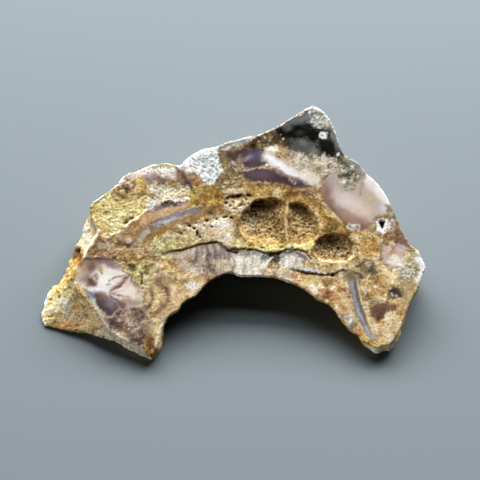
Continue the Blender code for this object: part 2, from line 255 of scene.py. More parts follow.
def area(outline, paint, soft=1.5, ragged=0.8, **effect):
    """A closed outline. Its edge is soft and ragged by so many pixels."""
    return lambda stone: stone.inside(outline, soft, ragged), paint, effect


def line(points, width, paint, soft=1.0, ragged=0.5, last=None, **effect):
    """A line so many pixels wide, or tapering to last."""
    return lambda stone: stone.along(points, width, soft, ragged, last), paint, effect


def spot(x, y, across, down, paint, turn=0.0, soft=1.0, ragged=0.4, **effect):
    """An oval with these half sizes, turned by so many degrees."""
    return lambda stone: stone.oval(x, y, across, down, turn, soft, ragged), paint, effect


def mixed_spots(places, soft, ragged, **effect):
    """Ovals in paints of their own: x, y, half width, half height, turn and paint."""
    return [
        spot(x, y, across, down, paint, turn, soft, ragged, **effect)
        for x, y, across, down, turn, paint in places
    ]


def spots(places, paint, soft, ragged, **effect):
    """Ovals in one paint: x, y, half width, half height and turn."""
    return mixed_spots([(*place, paint) for place in places], soft, ragged, **effect)


def dots(places, paint, soft=0.9, ragged=0.5, **effect):
    """Small round spots: x, y and radius."""
    return spots([(x, y, radius, radius, 0) for x, y, radius in places], paint, soft, ragged, **effect)


def flecks(outline, size, share, paint, soft=2.0, ragged=1.5, seed=301, **effect):
    """Small flecks in cells of so many millimetres: they lie in this share of the cells inside an outline."""
    def reach(stone):
        return stone.inside(outline, soft, ragged) * stone.flecked(size, share, seed)
    return reach, paint, effect


def threads(outline, size, width, paint, soft=2.0, ragged=1.5, seed=401, **effect):
    """Fine wandering lines inside an outline, which close round patches about size millimetres across."""
    def reach(stone):
        return stone.inside(outline, soft, ragged) * stone.threaded(size, width, seed)
    return reach, paint, effect


def holes(places, sink, paint=(30, 18, 8)):
    """Holes, dented a little and painted darker as the shade in them: x, y, half width, half height and turn.
    """
    return spots(places, paint, 0.9, 0.5, sink=sink)


# Grounds, from their darkest stop to their palest, and single colours
ROCK = [(56, 40, 18), (118, 88, 46), (168, 132, 78), (204, 174, 120), (240, 224, 180)]
GOLDEN = [(52, 36, 10), (112, 82, 34), (160, 122, 58), (198, 164, 92), (238, 220, 158)]
BROWN_ROCK = [(44, 28, 14), (100, 68, 38), (150, 110, 70), (192, 156, 110), (232, 210, 168)]
SIDE_ROCK = [(36, 25, 12), (76, 55, 29), (110, 85, 50), (140, 117, 80), (176, 158, 122)]
YELLOW_CRUST = [(116, 86, 36), (188, 156, 88), (224, 202, 130), (244, 230, 164), (254, 250, 214)]
CREAM_CRUST = [(104, 86, 58), (186, 170, 132), (226, 216, 186), (244, 240, 220), (255, 254, 246)]
PALE_POROUS = [(60, 42, 20), (152, 122, 78), (204, 180, 134), (232, 216, 182), (252, 246, 230)]
GREEN_POROUS = [(54, 44, 18), (134, 116, 64), (184, 168, 108), (218, 206, 150), (244, 240, 200)]
TAN_ROCK = [(76, 54, 26), (150, 116, 70), (204, 174, 122), (236, 214, 164), (252, 242, 210)]
MAUVE_ROCK = [(52, 38, 36), (94, 72, 64), (134, 108, 94), (178, 152, 130), (228, 210, 188)]
OLIVE_ROCK = [(30, 28, 18), (82, 74, 54), (138, 128, 102), (188, 180, 156), (240, 234, 220)]
DARK_QUARTZ = [(8, 8, 6), (18, 18, 14), (30, 30, 25), (58, 56, 48), (112, 106, 96)]
DRUSE = [(116, 126, 130), (206, 216, 218), (238, 245, 245), (250, 253, 253), (255, 255, 255)]
SPONGE = [(34, 18, 2), (88, 58, 22), (144, 108, 56), (188, 156, 96), (240, 222, 168)]
WHITE = (252, 251, 248)
CRYSTAL_WHITE = (255, 255, 255)
CRYSTAL_GREY = (150, 160, 166)
PORE_BROWN = (70, 46, 22)
CRUST_SEAM = (170, 128, 66)
FLANK_SEAM = (168, 126, 66)
CELL_BROWN = (92, 60, 24)
RIDGE_CREAM = (222, 198, 140)
# Painted shade for the hollows' slopes that face the lamps
LIT_SLOPE_SHADE_BROWN = (118, 82, 38)

# Broad grounds: golden and pale rock round the hollows, green and brown left of them, tan in the legs
GROUND_MARKS = [
    area([(184, 200), (190, 186), (204, 186), (224, 188), (240, 185), (262, 184), (284, 184), (306, 188),
        (322, 190), (328, 204), (342, 222), (352, 230), (358, 240), (352, 252), (316, 240), (300, 248),
        (252, 246), (240, 230), (232, 213), (216, 210), (198, 208), (186, 206)], GOLDEN, 2.5, 1.5,
        streak=0.12),
    area([(162, 234), (176, 226), (192, 220), (206, 214), (222, 213), (236, 213), (241, 230), (242, 246),
        (230, 249), (218, 240), (204, 242), (190, 246), (166, 250)], PALE_POROUS, 3, 1.2, shift=0.07,
        streak=0.1),
    area([(140, 246), (150, 238), (166, 237), (190, 237), (208, 237), (210, 242), (196, 245), (178, 249),
        (166, 252), (146, 252)], GREEN_POROUS, 3, 1.8, shift=0.14, streak=0.15),
    area([(86, 252), (94, 242), (104, 240), (124, 246), (140, 250), (156, 253), (158, 260), (140, 261),
        (122, 263), (112, 260), (92, 259)], BROWN_ROCK, 2.5, 1.2, shift=0.12, streak=0.25),
    area([(142, 262), (158, 262), (176, 264), (200, 274), (206, 284), (196, 298), (184, 303), (176, 312),
        (166, 321), (160, 334), (154, 352), (146, 348), (146, 330), (150, 310), (144, 290), (150, 280)],
        TAN_ROCK, 3, 1.8, shift=0.08, gloss=0.25, streak=0.22),
    area([(292, 272), (320, 276), (350, 278), (364, 276), (384, 268), (410, 276), (424, 280), (412, 304),
        (404, 330), (396, 348), (378, 357), (358, 342), (340, 320), (326, 304), (306, 294), (290, 284)],
        TAN_ROCK, 2.5, 0.8, gloss=0.2),
    area([(350, 232), (368, 232), (380, 234), (384, 250), (378, 266), (358, 264), (354, 250)], TAN_ROCK,
        2.5, 1.8, shift=0.06),
]

# The upper left corner, behind the crusts
LEFT_TOP_MARKS = [
    area([(126, 175), (134, 170), (144, 167), (152, 163), (164, 163), (180, 163), (184, 168), (178, 172),
        (172, 178), (164, 177), (156, 174), (148, 176), (138, 178), (130, 180)], (240, 226, 216), 2, 1.2),
    # Painted highlight along the rim
    line([(92, 205), (99, 198), (110, 190), (118, 183.5), (124, 176)], 1.6, (248, 246, 240), 1, 0.8,
        strength=0.85),
    line([(126, 173), (134, 170.5), (142, 167.5), (150, 164), (156, 163)], 3, WHITE, 1.4, 1,
        strength=0.9),
    line([(158, 169.5), (166, 170.5), (176, 169)], 4, WHITE, 1.8, 1.2, strength=0.9),
    area([(154, 162), (162, 160), (170, 161), (179, 162), (178, 166.5), (168, 167.5), (156, 167.5)],
        [(86, 78, 48), (152, 144, 104), (198, 190, 150), (232, 226, 196)], 1.2, 1.2, shift=0.02),
    area([(117, 184), (128, 180), (142, 179), (150, 186), (158, 186), (150, 198), (136, 198), (118, 192)],
        GOLDEN, 2.5, 1.8, shift=0.22),
    area([(129, 179), (136, 175), (144, 177), (146, 186), (141, 192), (132, 188)], (226, 194, 120), 2.5,
        1.8, strength=0.7),
    spot(150.5, 177.5, 6, 3, (172, 164, 178), -15, 2.4, 1.4, gloss=0.4, strength=0.85),
    line([(146, 178), (153, 180), (160, 181), (168, 180)], 4.4, (124, 106, 100), 2.4, 1.2, gloss=0.3,
        strength=0.85),
    spot(152.5, 183.5, 3, 1.6, (66, 56, 52), 0, 1.4, 1.2, strength=0.85),
    spot(174.5, 175.5, 4, 4, (226, 204, 192), 0, 2.4, 0.8, gloss=0.3),
    area([(175, 168), (184, 169.5), (192, 175), (197, 184), (192, 190), (185, 186), (179, 182), (175, 174)],
        (132, 104, 90), 2.4, 1.6, gloss=0.3, strength=0.85),
    line([(177, 169), (182, 173), (186, 179)], 3, (84, 60, 56), 2, 1, strength=0.85),
    spot(187.5, 182.5, 4.4, 3.2, (62, 42, 38), 45, 1.8, 1.4, strength=0.9),
    line([(184, 177), (189, 185), (193, 192)], 3, (70, 50, 42), 1.6, 1.2, strength=0.8),
    area([(147, 187), (156, 185), (162, 188), (158, 193), (149, 193)], (238, 226, 218), 1.8, 1.4,
        strength=0.8),
    area([(117, 184), (125, 181), (134, 181.5), (136, 188), (131, 194), (122, 196), (116, 192)],
        [(44, 24, 14), (96, 62, 38), (148, 106, 70), (212, 178, 132), (240, 220, 180)], 2, 1.8),
    flecks([(116, 180), (130, 178), (138, 184), (132, 196), (118, 196)], 1.1, 0.35, (52, 28, 14), 2, 1,
        seed=307, strength=0.9),
    line([(118, 189.5), (124, 188), (130, 189.5), (134, 188)], 1.6, (60, 30, 16), 0.9, 1, strength=0.8),
    *spots([(123.5, 180.5, 2.6, 1.6, -25), (128, 182.5, 1.8, 1.1, -25), (120.5, 184.5, 1.6, 1, -25),
        (131, 186, 1.4, 0.9, -25)], (246, 238, 224), 1.1, 0.8),
    *dots([(135, 184.5, 1.1), (138, 189, 1), (146, 197, 1), (141, 183, 0.9), (146, 188, 1)],
        (104, 72, 30), strength=0.85),
]

# The two rough crusts of the upper left, the yellow one and the cream one
CRUST_OUTLINE = [
    (90, 208), (100, 200), (110, 192), (117, 193), (122, 198), (132, 197), (146, 193), (151, 199),
    (149, 208), (141, 215), (131, 223), (120, 231), (108, 237), (101, 236), (94, 228), (91, 216),
]
CREAM_OUTLINE = [
    (148, 201), (153, 193), (158, 187), (163, 183), (170, 186), (176, 189), (184, 184), (190, 191),
    (190, 197), (184, 201), (178, 202), (170, 199), (160, 204), (149, 209),
]
CRUST_MARKS = [
    area(CRUST_OUTLINE, YELLOW_CRUST, 1.5, 1, shift=0.08, streak=0.08),
    area([(112, 190), (126, 195), (146, 193), (150, 200), (136, 204), (118, 202)], (206, 168, 96), 3, 1.8,
        strength=0.5),
    area([(106, 198), (116, 200), (121, 212), (113, 219), (106, 210)], (210, 174, 100), 3, 1.5,
        strength=0.35),
    area([(98, 222), (107, 222), (111, 230), (104, 234)], (234, 186, 118), 2.5, 1.4, strength=0.6),
    threads(CRUST_OUTLINE, 1.2, 0.12, (176, 138, 72), 1, 0.5, seed=409, strength=0.35),
    threads([(98, 206), (112, 198), (130, 200), (140, 206), (126, 222), (108, 230)], 2.2, 0.12,
        (252, 246, 204), 3, 1, seed=419, strength=0.45),
    line([(101, 236.5), (110, 236.5), (120, 230), (130, 222), (139, 215.5), (147, 207)], 2.6,
        (250, 240, 206), 1.4, 1.2, strength=0.8),
    line([(99, 238), (108, 239.5), (118, 234.5), (126, 228)], 1.4, (96, 66, 30), 0.9, 0.8, strength=0.8),
    area(CREAM_OUTLINE, CREAM_CRUST, 1.6, 1.4, shift=0.14),
    flecks(CREAM_OUTLINE, 0.9, 0.4, (150, 132, 104), 1, 1, seed=311, strength=0.6),
    spot(172, 194, 8, 4, (240, 224, 170), -10, 3, 1.4, strength=0.4),
    *holes([(126.5, 222.5, 2.6, 1.3, -28), (132.5, 218.5, 1.5, 1.3, 0), (123, 229, 1.3, 0.9, 0),
        (116, 201, 1.6, 0.7, 40)], 0.3, (62, 42, 16)),
    *dots([(106, 213, 2), (104, 204, 0.9), (97, 212, 0.9), (109, 226, 0.9), (141, 206, 1),
        (118, 210, 0.9), (112, 206, 0.8)], (150, 124, 66), strength=0.75),
    line([(101, 199), (105, 202), (109, 206)], 1.1, (150, 108, 50), 0.8, 0.8, strength=0.6),
    line([(112, 195), (115, 200), (118, 203)], 1.2, (150, 104, 46), 0.8, 0.8, strength=0.6),
    line([(91.5, 208), (91.5, 216), (93, 224), (97, 231)], 1.4, (196, 172, 122), 0.9, 0.8, strength=0.6),
]

# The tan, mauve and grey bands below the crusts
BAND_MARKS = [
    area([(98, 240), (104, 236), (112, 236), (120, 231), (128, 228), (134, 234), (146, 240), (152, 246),
        (140, 250), (120, 249), (104, 246)], BROWN_ROCK, 2.5, 1.8, shift=0.10),
    area([(110, 238), (118, 233), (124, 231), (128, 236), (122, 243), (112, 243)],
        [(70, 54, 26), (128, 104, 60), (182, 158, 108), (226, 206, 160)], 2, 1.4),
    area([(122, 236), (129, 232), (133, 236), (132, 242), (125, 244)],
        [(58, 46, 34), (120, 108, 90), (188, 178, 160), (240, 234, 224)], 1.6, 1.4, shift=0.02),
    line([(123, 243.5), (128, 244.5), (133, 242.5)], 2.2, (56, 46, 30), 1.2, 1, strength=0.9),
    line([(103, 238), (107, 240), (112, 240)], 1.4, (70, 46, 22), 0.9, 0.8, strength=0.8),
    *dots([(126, 236.5, 1.2), (129, 239, 1.1), (105, 240, 1), (113, 244, 1.1), (108, 243, 0.9)],
        (244, 234, 220)),
    area([(124, 238), (130, 227), (140, 218), (149, 211.5), (158, 209.5), (170, 206), (180, 203.5),
        (189, 202), (191, 206), (180, 210), (170, 213.5), (161, 217), (152, 223), (143, 231), (135, 240)],
        [(126, 92, 48), (178, 142, 96), (212, 176, 134), (232, 204, 168)], 1.8, 1, gloss=0.3, shift=0.02),
    area([(125, 238), (130, 228), (137, 221), (142, 224), (140, 233), (134, 240)], (158, 116, 62), 2.6, 1.4,
        strength=0.85),
    spot(142, 222.5, 5, 3.2, (190, 138, 98), -40, 2.4, 1.2, strength=0.75),
    spot(153, 216, 5, 2.6, (196, 150, 112), -35, 2, 1.2, strength=0.7),
    spot(163, 211, 4.5, 2.6, (222, 190, 154), -20, 2, 1, strength=0.8),
    spot(177, 207.5, 8, 2.2, (226, 180, 142), -14, 1.8, 1, strength=0.8),
    line([(126, 233), (133, 224), (141, 216.5), (147, 211)], 1.4, (112, 78, 40), 1.1, 0.8, strength=0.7),
    line([(133, 243), (139, 235), (146, 227.5), (153, 223)], 3.4, (148, 112, 80), 2, 1, gloss=0.3,
        strength=0.8),
    line([(150, 211), (157, 207.5), (164, 205), (172, 203.5), (180, 204)], 5.5, (140, 118, 124), 2.2, 1.8,
        strength=0.85),
    line([(162, 205), (168, 202.5), (175, 202.5)], 4.5, (72, 54, 58), 1.8, 1.6, strength=0.9),
    line([(166, 202.5), (170, 201), (174, 201.5)], 2, (34, 24, 26), 1.2, 1.2, strength=0.8),
    line([(175, 203), (181, 202.5), (188, 200.5)], 1.4, (74, 50, 26), 0.9, 0.9, strength=0.85),
    area([(135, 243), (140, 234), (147, 228.5), (152, 225.5), (160, 219.5), (170, 215.5), (180, 212),
        (192, 209), (205, 207.5), (213, 209), (206, 213.5), (194, 216.5), (184, 219.5), (174, 224),
        (164, 228.5), (156, 231), (150, 232.5), (145, 238), (141, 244)], (138, 120, 100), 2, 1,
        gloss=0.6),
    line([(156, 222), (163, 218.6), (171, 216), (180, 213.2), (190, 211), (200, 210.5)], 4.4,
        (136, 130, 142), 2.2, 0.9, last=3, gloss=0.7),
    line([(155, 227), (162, 223.4), (170, 220.4), (178, 217.4)], 3.6, (170, 172, 176), 2.2, 1.2, gloss=0.6,
        strength=0.85),
    line([(174, 220), (182, 217.5), (190, 215)], 2, (206, 196, 184), 1.4, 0.8, strength=0.7),
    spot(166, 221.5, 3.6, 2.2, (206, 212, 220), -25, 1.6, 0.6, gloss=0.6, strength=0.85),
    spot(173, 218.6, 2.6, 1.6, (198, 202, 214), -20, 1.4, 0.6, gloss=0.6, strength=0.8),
    line([(153, 229), (158, 226), (163, 224)], 1.8, (112, 94, 80), 1.6, 0.8, strength=0.7),
    line([(146, 238), (150, 233.6), (156, 230)], 2, (120, 100, 76), 1.8, 0.8, strength=0.6),
    line([(197, 210.5), (204, 210), (210, 210.5)], 4, (134, 118, 114), 2, 1.4, strength=0.75),
    line([(139, 241), (143, 235.5), (148, 231.5)], 4, (206, 194, 174), 2.2, 1.2, strength=0.8),
    *dots([(160, 222.5, 0.8), (165, 224.5, 0.8), (158, 226, 0.7), (170, 219.5, 0.7)], (228, 226, 222),
        strength=0.7),
    line([(152, 224), (158, 220), (163, 217.2), (170, 215), (178, 212.3), (186, 209.8), (194, 208.2),
        (200, 208)], 1.3, (92, 70, 50), 0.8, 0.8, strength=0.85, sink=0.12),
    line([(154, 220.4), (160, 217.4), (166, 215), (177.5, 211.8), (189, 208.4), (200.6, 206), (208, 205)],
        1.5, (234, 212, 162), 0.9, 0.6, strength=0.8),
    line([(134, 232), (140, 225), (147, 219)], 1.4, (222, 196, 146), 1.2, 0.8, strength=0.6),
    area([(143, 243), (147, 236.5), (152, 232.5), (160, 230), (170, 227), (182, 221), (194, 217.5),
        (204, 214.5), (213, 213.5), (206, 217.5), (192, 221), (180, 226), (170, 231), (161, 236.5),
        (150, 242.5)], (150, 104, 40), 2.4, 1.4, gloss=0.3, strength=0.9),
    spot(149.5, 238.5, 4, 3, (148, 112, 58), -20, 2.2, 1.2, strength=0.8),
    spot(159.5, 233, 5.5, 2.4, (164, 106, 34), -14, 2, 1, strength=0.85),
    line([(170, 227.5), (182, 221.5), (196, 217), (208, 214.5)], 1.8, (184, 136, 66), 1.4, 1.4,
        strength=0.7),
]

# The white druse at the top, with brown speckled rock to its right
DRUSE_OUTLINE = [
    (180, 167), (185, 160), (196, 152), (206, 146), (217, 146), (218, 156), (219, 166), (223, 171),
    (219, 178), (212, 184), (207, 188), (203, 183), (196, 174), (188, 170),
]
DRUSE_MARKS = [
    area([(216, 151), (230, 143), (246, 142), (246, 158), (242, 172), (246, 184), (236, 190), (222, 192),
        (214, 186), (220, 170)], [(34, 24, 10), (88, 68, 38), (134, 112, 70), (182, 162, 120),
        (228, 214, 184)], 2.4, 1.8, shift=0.02),
    area([(180, 167), (185, 160), (196, 152), (206, 146), (217, 146), (218, 156), (219, 166), (222, 171),
        (219, 177), (212, 183), (207, 187), (203, 182), (196, 173), (188, 170)], DRUSE, 1.4, 1,
        shift=0.16),
    line([(223, 156), (225, 166), (222, 176)], 5, (138, 108, 58), 2.4, 1.6, strength=0.75),
    line([(219, 150), (221, 160), (221, 168)], 2, (84, 68, 44), 1.4, 1.4, strength=0.7),
    threads([(196, 156), (210, 150), (219, 154), (220, 166), (216, 178), (208, 184), (200, 172)], 1.9, 0.16,
        (128, 142, 146), 2.5, 1, seed=421, strength=0.75, sink=0.06),
    threads([(198, 154), (216, 150), (219, 162), (204, 166)], 1.4, 0.15, (92, 106, 112), 2, 1, seed=431,
        strength=0.6, sink=0.06),
    area([(180, 167), (186, 159), (196, 152), (206, 147), (215, 147), (212, 151), (202, 154), (193, 160),
        (188, 166)], WHITE, 2, 1.2, strength=0.8),
    spot(194.5, 165, 4, 3, (206, 200, 170), 20, 2.4, 1.4, strength=0.7),
    spot(187, 169.5, 4, 2, (196, 176, 164), 20, 1.8, 1.4, strength=0.7),
    spot(221, 171.5, 2, 2.6, (226, 208, 196), 0, 1.6, 1.2, strength=0.8),
    line([(196, 175), (202, 182), (207, 187.5), (213, 184)], 1.1, (140, 122, 98), 0.9, 0.8, strength=0.6),
    # Painted highlight: white along the rim
    area([(218, 148), (230, 141), (240, 138.5), (252, 136), (252, 139.5), (244, 141.5), (236, 146),
        (228, 149), (220, 151)], (240, 242, 242), 1.6, 1.2, strength=0.85),
    # Painted reflection: a grey sheen at the rim
    line([(219, 149), (223, 147), (228, 145.5)], 2.8, (86, 98, 98), 1.4, 1, strength=0.9),
    *dots([(231.5, 143.5, 0.9), (242, 140.5, 1.1), (236, 142, 0.8), (239, 144, 0.8)], (140, 144, 142),
        strength=0.8),
    flecks([(220, 152), (244, 146), (246, 182), (222, 190)], 1.2, 0.3, (222, 208, 182), 2, 1, seed=313,
        strength=0.8),
    flecks([(220, 152), (246, 144), (246, 184), (222, 190)], 1.4, 0.3, (52, 38, 20), 2, 1, seed=317,
        strength=0.7),
    spot(232.5, 162.5, 3.4, 1.8, (230, 220, 218), 50, 1.1, 0.8),
    line([(229.5, 160), (231, 165), (236, 167)], 1.2, (56, 42, 34), 0.8, 0.8),
    line([(241, 160), (242.5, 163.5), (241.5, 167)], 1.3, (220, 210, 192), 0.8, 0.6),
    area([(192, 181), (196, 179), (203, 182), (201, 187), (194, 186.5)], (150, 88, 36), 1.8, 1.4,
        strength=0.8),
    spot(194.5, 189, 2.8, 3, (208, 194, 118), 10, 1.6, 1.2, strength=0.85),
    line([(190, 187), (192.5, 191), (196, 195)], 1.8, (70, 58, 28), 1.1, 0.9, strength=0.85),
]

# The druse's grey crystals, drawn over its white
GREY_CRYSTALS = [
    spot(205.5, 162, 5, 3.4, (176, 184, 186), 20, 2.2, 1.8, strength=0.5),
    *spots([(203, 161.5, 1.8, 1.3, 20), (199, 158, 1.4, 0.8, -20), (208, 159, 1.5, 1, 40),
        (213.5, 163, 1.4, 1, 0), (208, 180, 1.6, 1.3, 30), (212.5, 171.5, 1.4, 0.9, 20),
        (216, 158, 1, 1.4, 0), (205, 166, 1.2, 0.8, 0)], (76, 88, 94), 1.1, 1, strength=0.75),
]

# The purple lens, and the dark bar below it
PURPLE_MARKS = [
    area([(232, 148), (244, 142), (258, 140), (264, 146), (254, 152), (242, 154), (232, 153)],
        [(32, 22, 14), (72, 54, 36), (116, 92, 62), (176, 152, 116)], 2.5, 1.6, gloss=0.4),
    area([(224, 153), (234, 151), (246, 150), (262, 149), (272, 155), (270, 163), (258, 167), (248, 169),
        (240, 165), (228, 160)], (76, 62, 74), 2.4, 1.2, gloss=0.9, strength=0.95),
    spot(229, 156, 7, 5, (78, 60, 46), 8, 3.5, 1.4, strength=0.85),
    spot(256, 156, 8, 5, (94, 84, 108), 10, 4, gloss=0.9),
    spot(262, 163, 6, 2.4, (78, 58, 64), 0, 2.6, strength=0.7),
    spot(247.5, 158.5, 3.6, 1.8, (168, 158, 178), -35, 2.2, 0.8, strength=0.8),
    spot(240, 160, 3, 3.4, (176, 148, 112), 20, 2, 1.6, strength=0.8),
    area([(241, 171), (256, 168.5), (268, 167.5), (282, 171), (298, 177), (310, 182), (316, 187),
        (306, 190), (290, 187), (272, 183), (254, 182.5), (243, 179)], (82, 64, 66), 2.2, 1, gloss=0.9),
    spot(260, 174, 11, 4.5, (102, 84, 98), 5, 3.5, gloss=0.9, strength=0.85),
    spot(284, 179, 10, 4, (72, 52, 54), 18, 3.5, strength=0.8),
    spot(306, 186, 7, 2.6, (70, 60, 72), 18, 2.6, 0.8, gloss=0.9, strength=0.8),
    line([(270, 170), (280, 173), (290, 177)], 1.6, (142, 118, 116), 1.8, 0.8, strength=0.5),
    line([(242, 182.5), (250, 183), (260, 182)], 1.6, (196, 164, 118), 1.2, 1.2, strength=0.8),
    line([(258, 184.5), (268, 185.5), (280, 186.5), (292, 189)], 2.2, (104, 74, 44), 1.8, 1.2,
        strength=0.8),
    line([(243, 170), (248, 169.3), (254, 168.3), (259, 167.6), (264, 167.6), (267, 165)], 1.2,
        (214, 196, 176), 0.8, 0.6, strength=0.9),
    spot(266.8, 164.6, 1.3, 1.1, (242, 232, 222), 0, 0.8),
]

# The dark peak, with its pale tip and edge
PEAK_MARKS = [
    area([(246, 145), (256, 137), (268, 131), (282, 125), (296, 117), (308, 109), (320, 108), (330, 118),
        (336, 130), (342, 150), (348, 158), (340, 163), (326, 161), (312, 160), (300, 157), (286, 154),
        (272, 151), (258, 149)], DARK_QUARTZ, 2.2, 1.2, gloss=0.9, flat=0.8, shift=0.02),
    area([(246, 147), (254, 140), (268, 133), (280, 131), (288, 138), (290, 150), (278, 154), (262, 150)],
        [(22, 16, 8), (50, 38, 20), (86, 68, 38), (138, 114, 72), (206, 184, 140)], 3.5, 2, gloss=0.6,
        shift=-0.04),
    # Painted reflection: a grey sheen on the polished face near the tip
    area([(284, 125), (296, 117.5), (308, 111), (317, 111), (320, 118), (312, 122), (298, 123), (288, 126)],
        (112, 120, 122), 4, 0.6, gloss=0.8, strength=0.95),
    area([(276, 131), (290, 127), (306, 126), (320, 129), (322, 139), (300, 138), (282, 139)], (14, 15, 12),
        3.4, 1, gloss=0.9, strength=0.9),
    spot(289, 128.8, 3.2, 2.2, (92, 98, 98), -20, 2.2, 1.2, strength=0.8),
    spot(300, 133, 3.4, 1.8, (62, 66, 66), 0, 2, 1.2, strength=0.7),
    area([(320, 140), (334, 138), (344, 150), (346, 160), (330, 158)], (22, 22, 15), 2.8, 1.4, gloss=0.8,
        strength=0.75),
    area([(330, 127), (335, 129), (340, 143), (343, 153), (338, 150), (332, 140)], (128, 128, 126), 2.2,
        0.8, gloss=0.6, strength=0.85),
    area([(292, 141), (302, 139), (314, 142), (319, 148), (314, 156), (302, 156), (291, 151)], (84, 86, 84),
        3.5, 1.8, gloss=0.6, strength=0.85),
    spot(303, 143.5, 4, 2.4, (122, 122, 116), 20, 2.6, 1.4, strength=0.7),
    spot(314, 151, 4.5, 3.4, (136, 132, 122), 20, 2.8, 1.4, strength=0.7),
    area([(308, 113), (316, 110), (326, 115), (331, 122), (328, 128), (316, 127), (309, 122)],
        [(62, 64, 54), (112, 114, 104), (168, 168, 160), (216, 214, 208), (248, 248, 246)], 1.8, 1.4,
        gloss=0.4, shift=-0.04),
    threads([(308, 113), (317, 110), (326, 115), (331, 122), (328, 128), (312, 127)], 1.5, 0.18,
        (236, 236, 232), 1.2, 0.8, seed=443, strength=0.85, sink=-0.05),
    area([(322, 119), (330, 120), (334, 128), (328, 131), (321, 128)], (170, 162, 148), 2.4, 1.6,
        strength=0.6),
    # Painted highlight along the rim, which catches the light from behind
    line([(250, 138.5), (262, 133), (278, 126), (292, 118), (307, 109)], 1.3, (210, 212, 210), 0.9, 0.6),
    # Painted reflection: a grey sheen along the rim
    line([(219, 149.5), (226, 146.4), (236, 143), (246, 140.4)], 3, (122, 130, 128), 1.6, 0.6, gloss=0.5,
        strength=0.85),
    # Painted highlights along the rim round the tip
    line([(307, 108.8), (313, 107), (318, 108.5)], 3.6, (246, 247, 247), 1.3, 0.7),
    line([(318, 109), (323, 112), (327, 116)], 2, (232, 232, 228), 1.1, 1.2, strength=0.8),
    line([(327, 115.5), (331.5, 121), (335.5, 132)], 1.6, (236, 236, 232), 0.9, 0.9, strength=0.85),
    line([(336.5, 134), (340.5, 146), (344, 154)], 1.4, (220, 222, 222), 0.9, 0.8, strength=0.8),
    line([(345, 157), (352, 159), (358, 162)], 1.4, (232, 228, 220), 0.9, 0.8, strength=0.8),
    spot(323, 135.2, 4, 3.2, (246, 248, 248), -10, 1.1, 0.7, gloss=0.6),
    spot(322.4, 135, 1.2, 0.8, (64, 66, 62), 20, 0.8, 0.6),
    spot(338.5, 154.2, 3.4, 3.2, (96, 94, 86), 0, 2.2, strength=0.6),
    spot(338.3, 154.3, 1.5, 1.5, (240, 240, 236), 0, 1, 0.7),
    spot(345.7, 161.5, 2.2, 1.5, (236, 236, 232), 20, 1.2, 0.9, strength=0.9),
    *dots([(265, 137, 1), (276, 146.4, 1.8), (283.5, 139, 0.7), (318, 118, 1), (259, 141.5, 0.6),
        (270, 141, 0.7)], (236, 234, 226)),
    flecks([(256, 140), (272, 133), (284, 134), (288, 146), (272, 150), (258, 148)], 1.2, 0.3,
        (178, 150, 96), 2, 1.4, seed=331, strength=0.75),
]

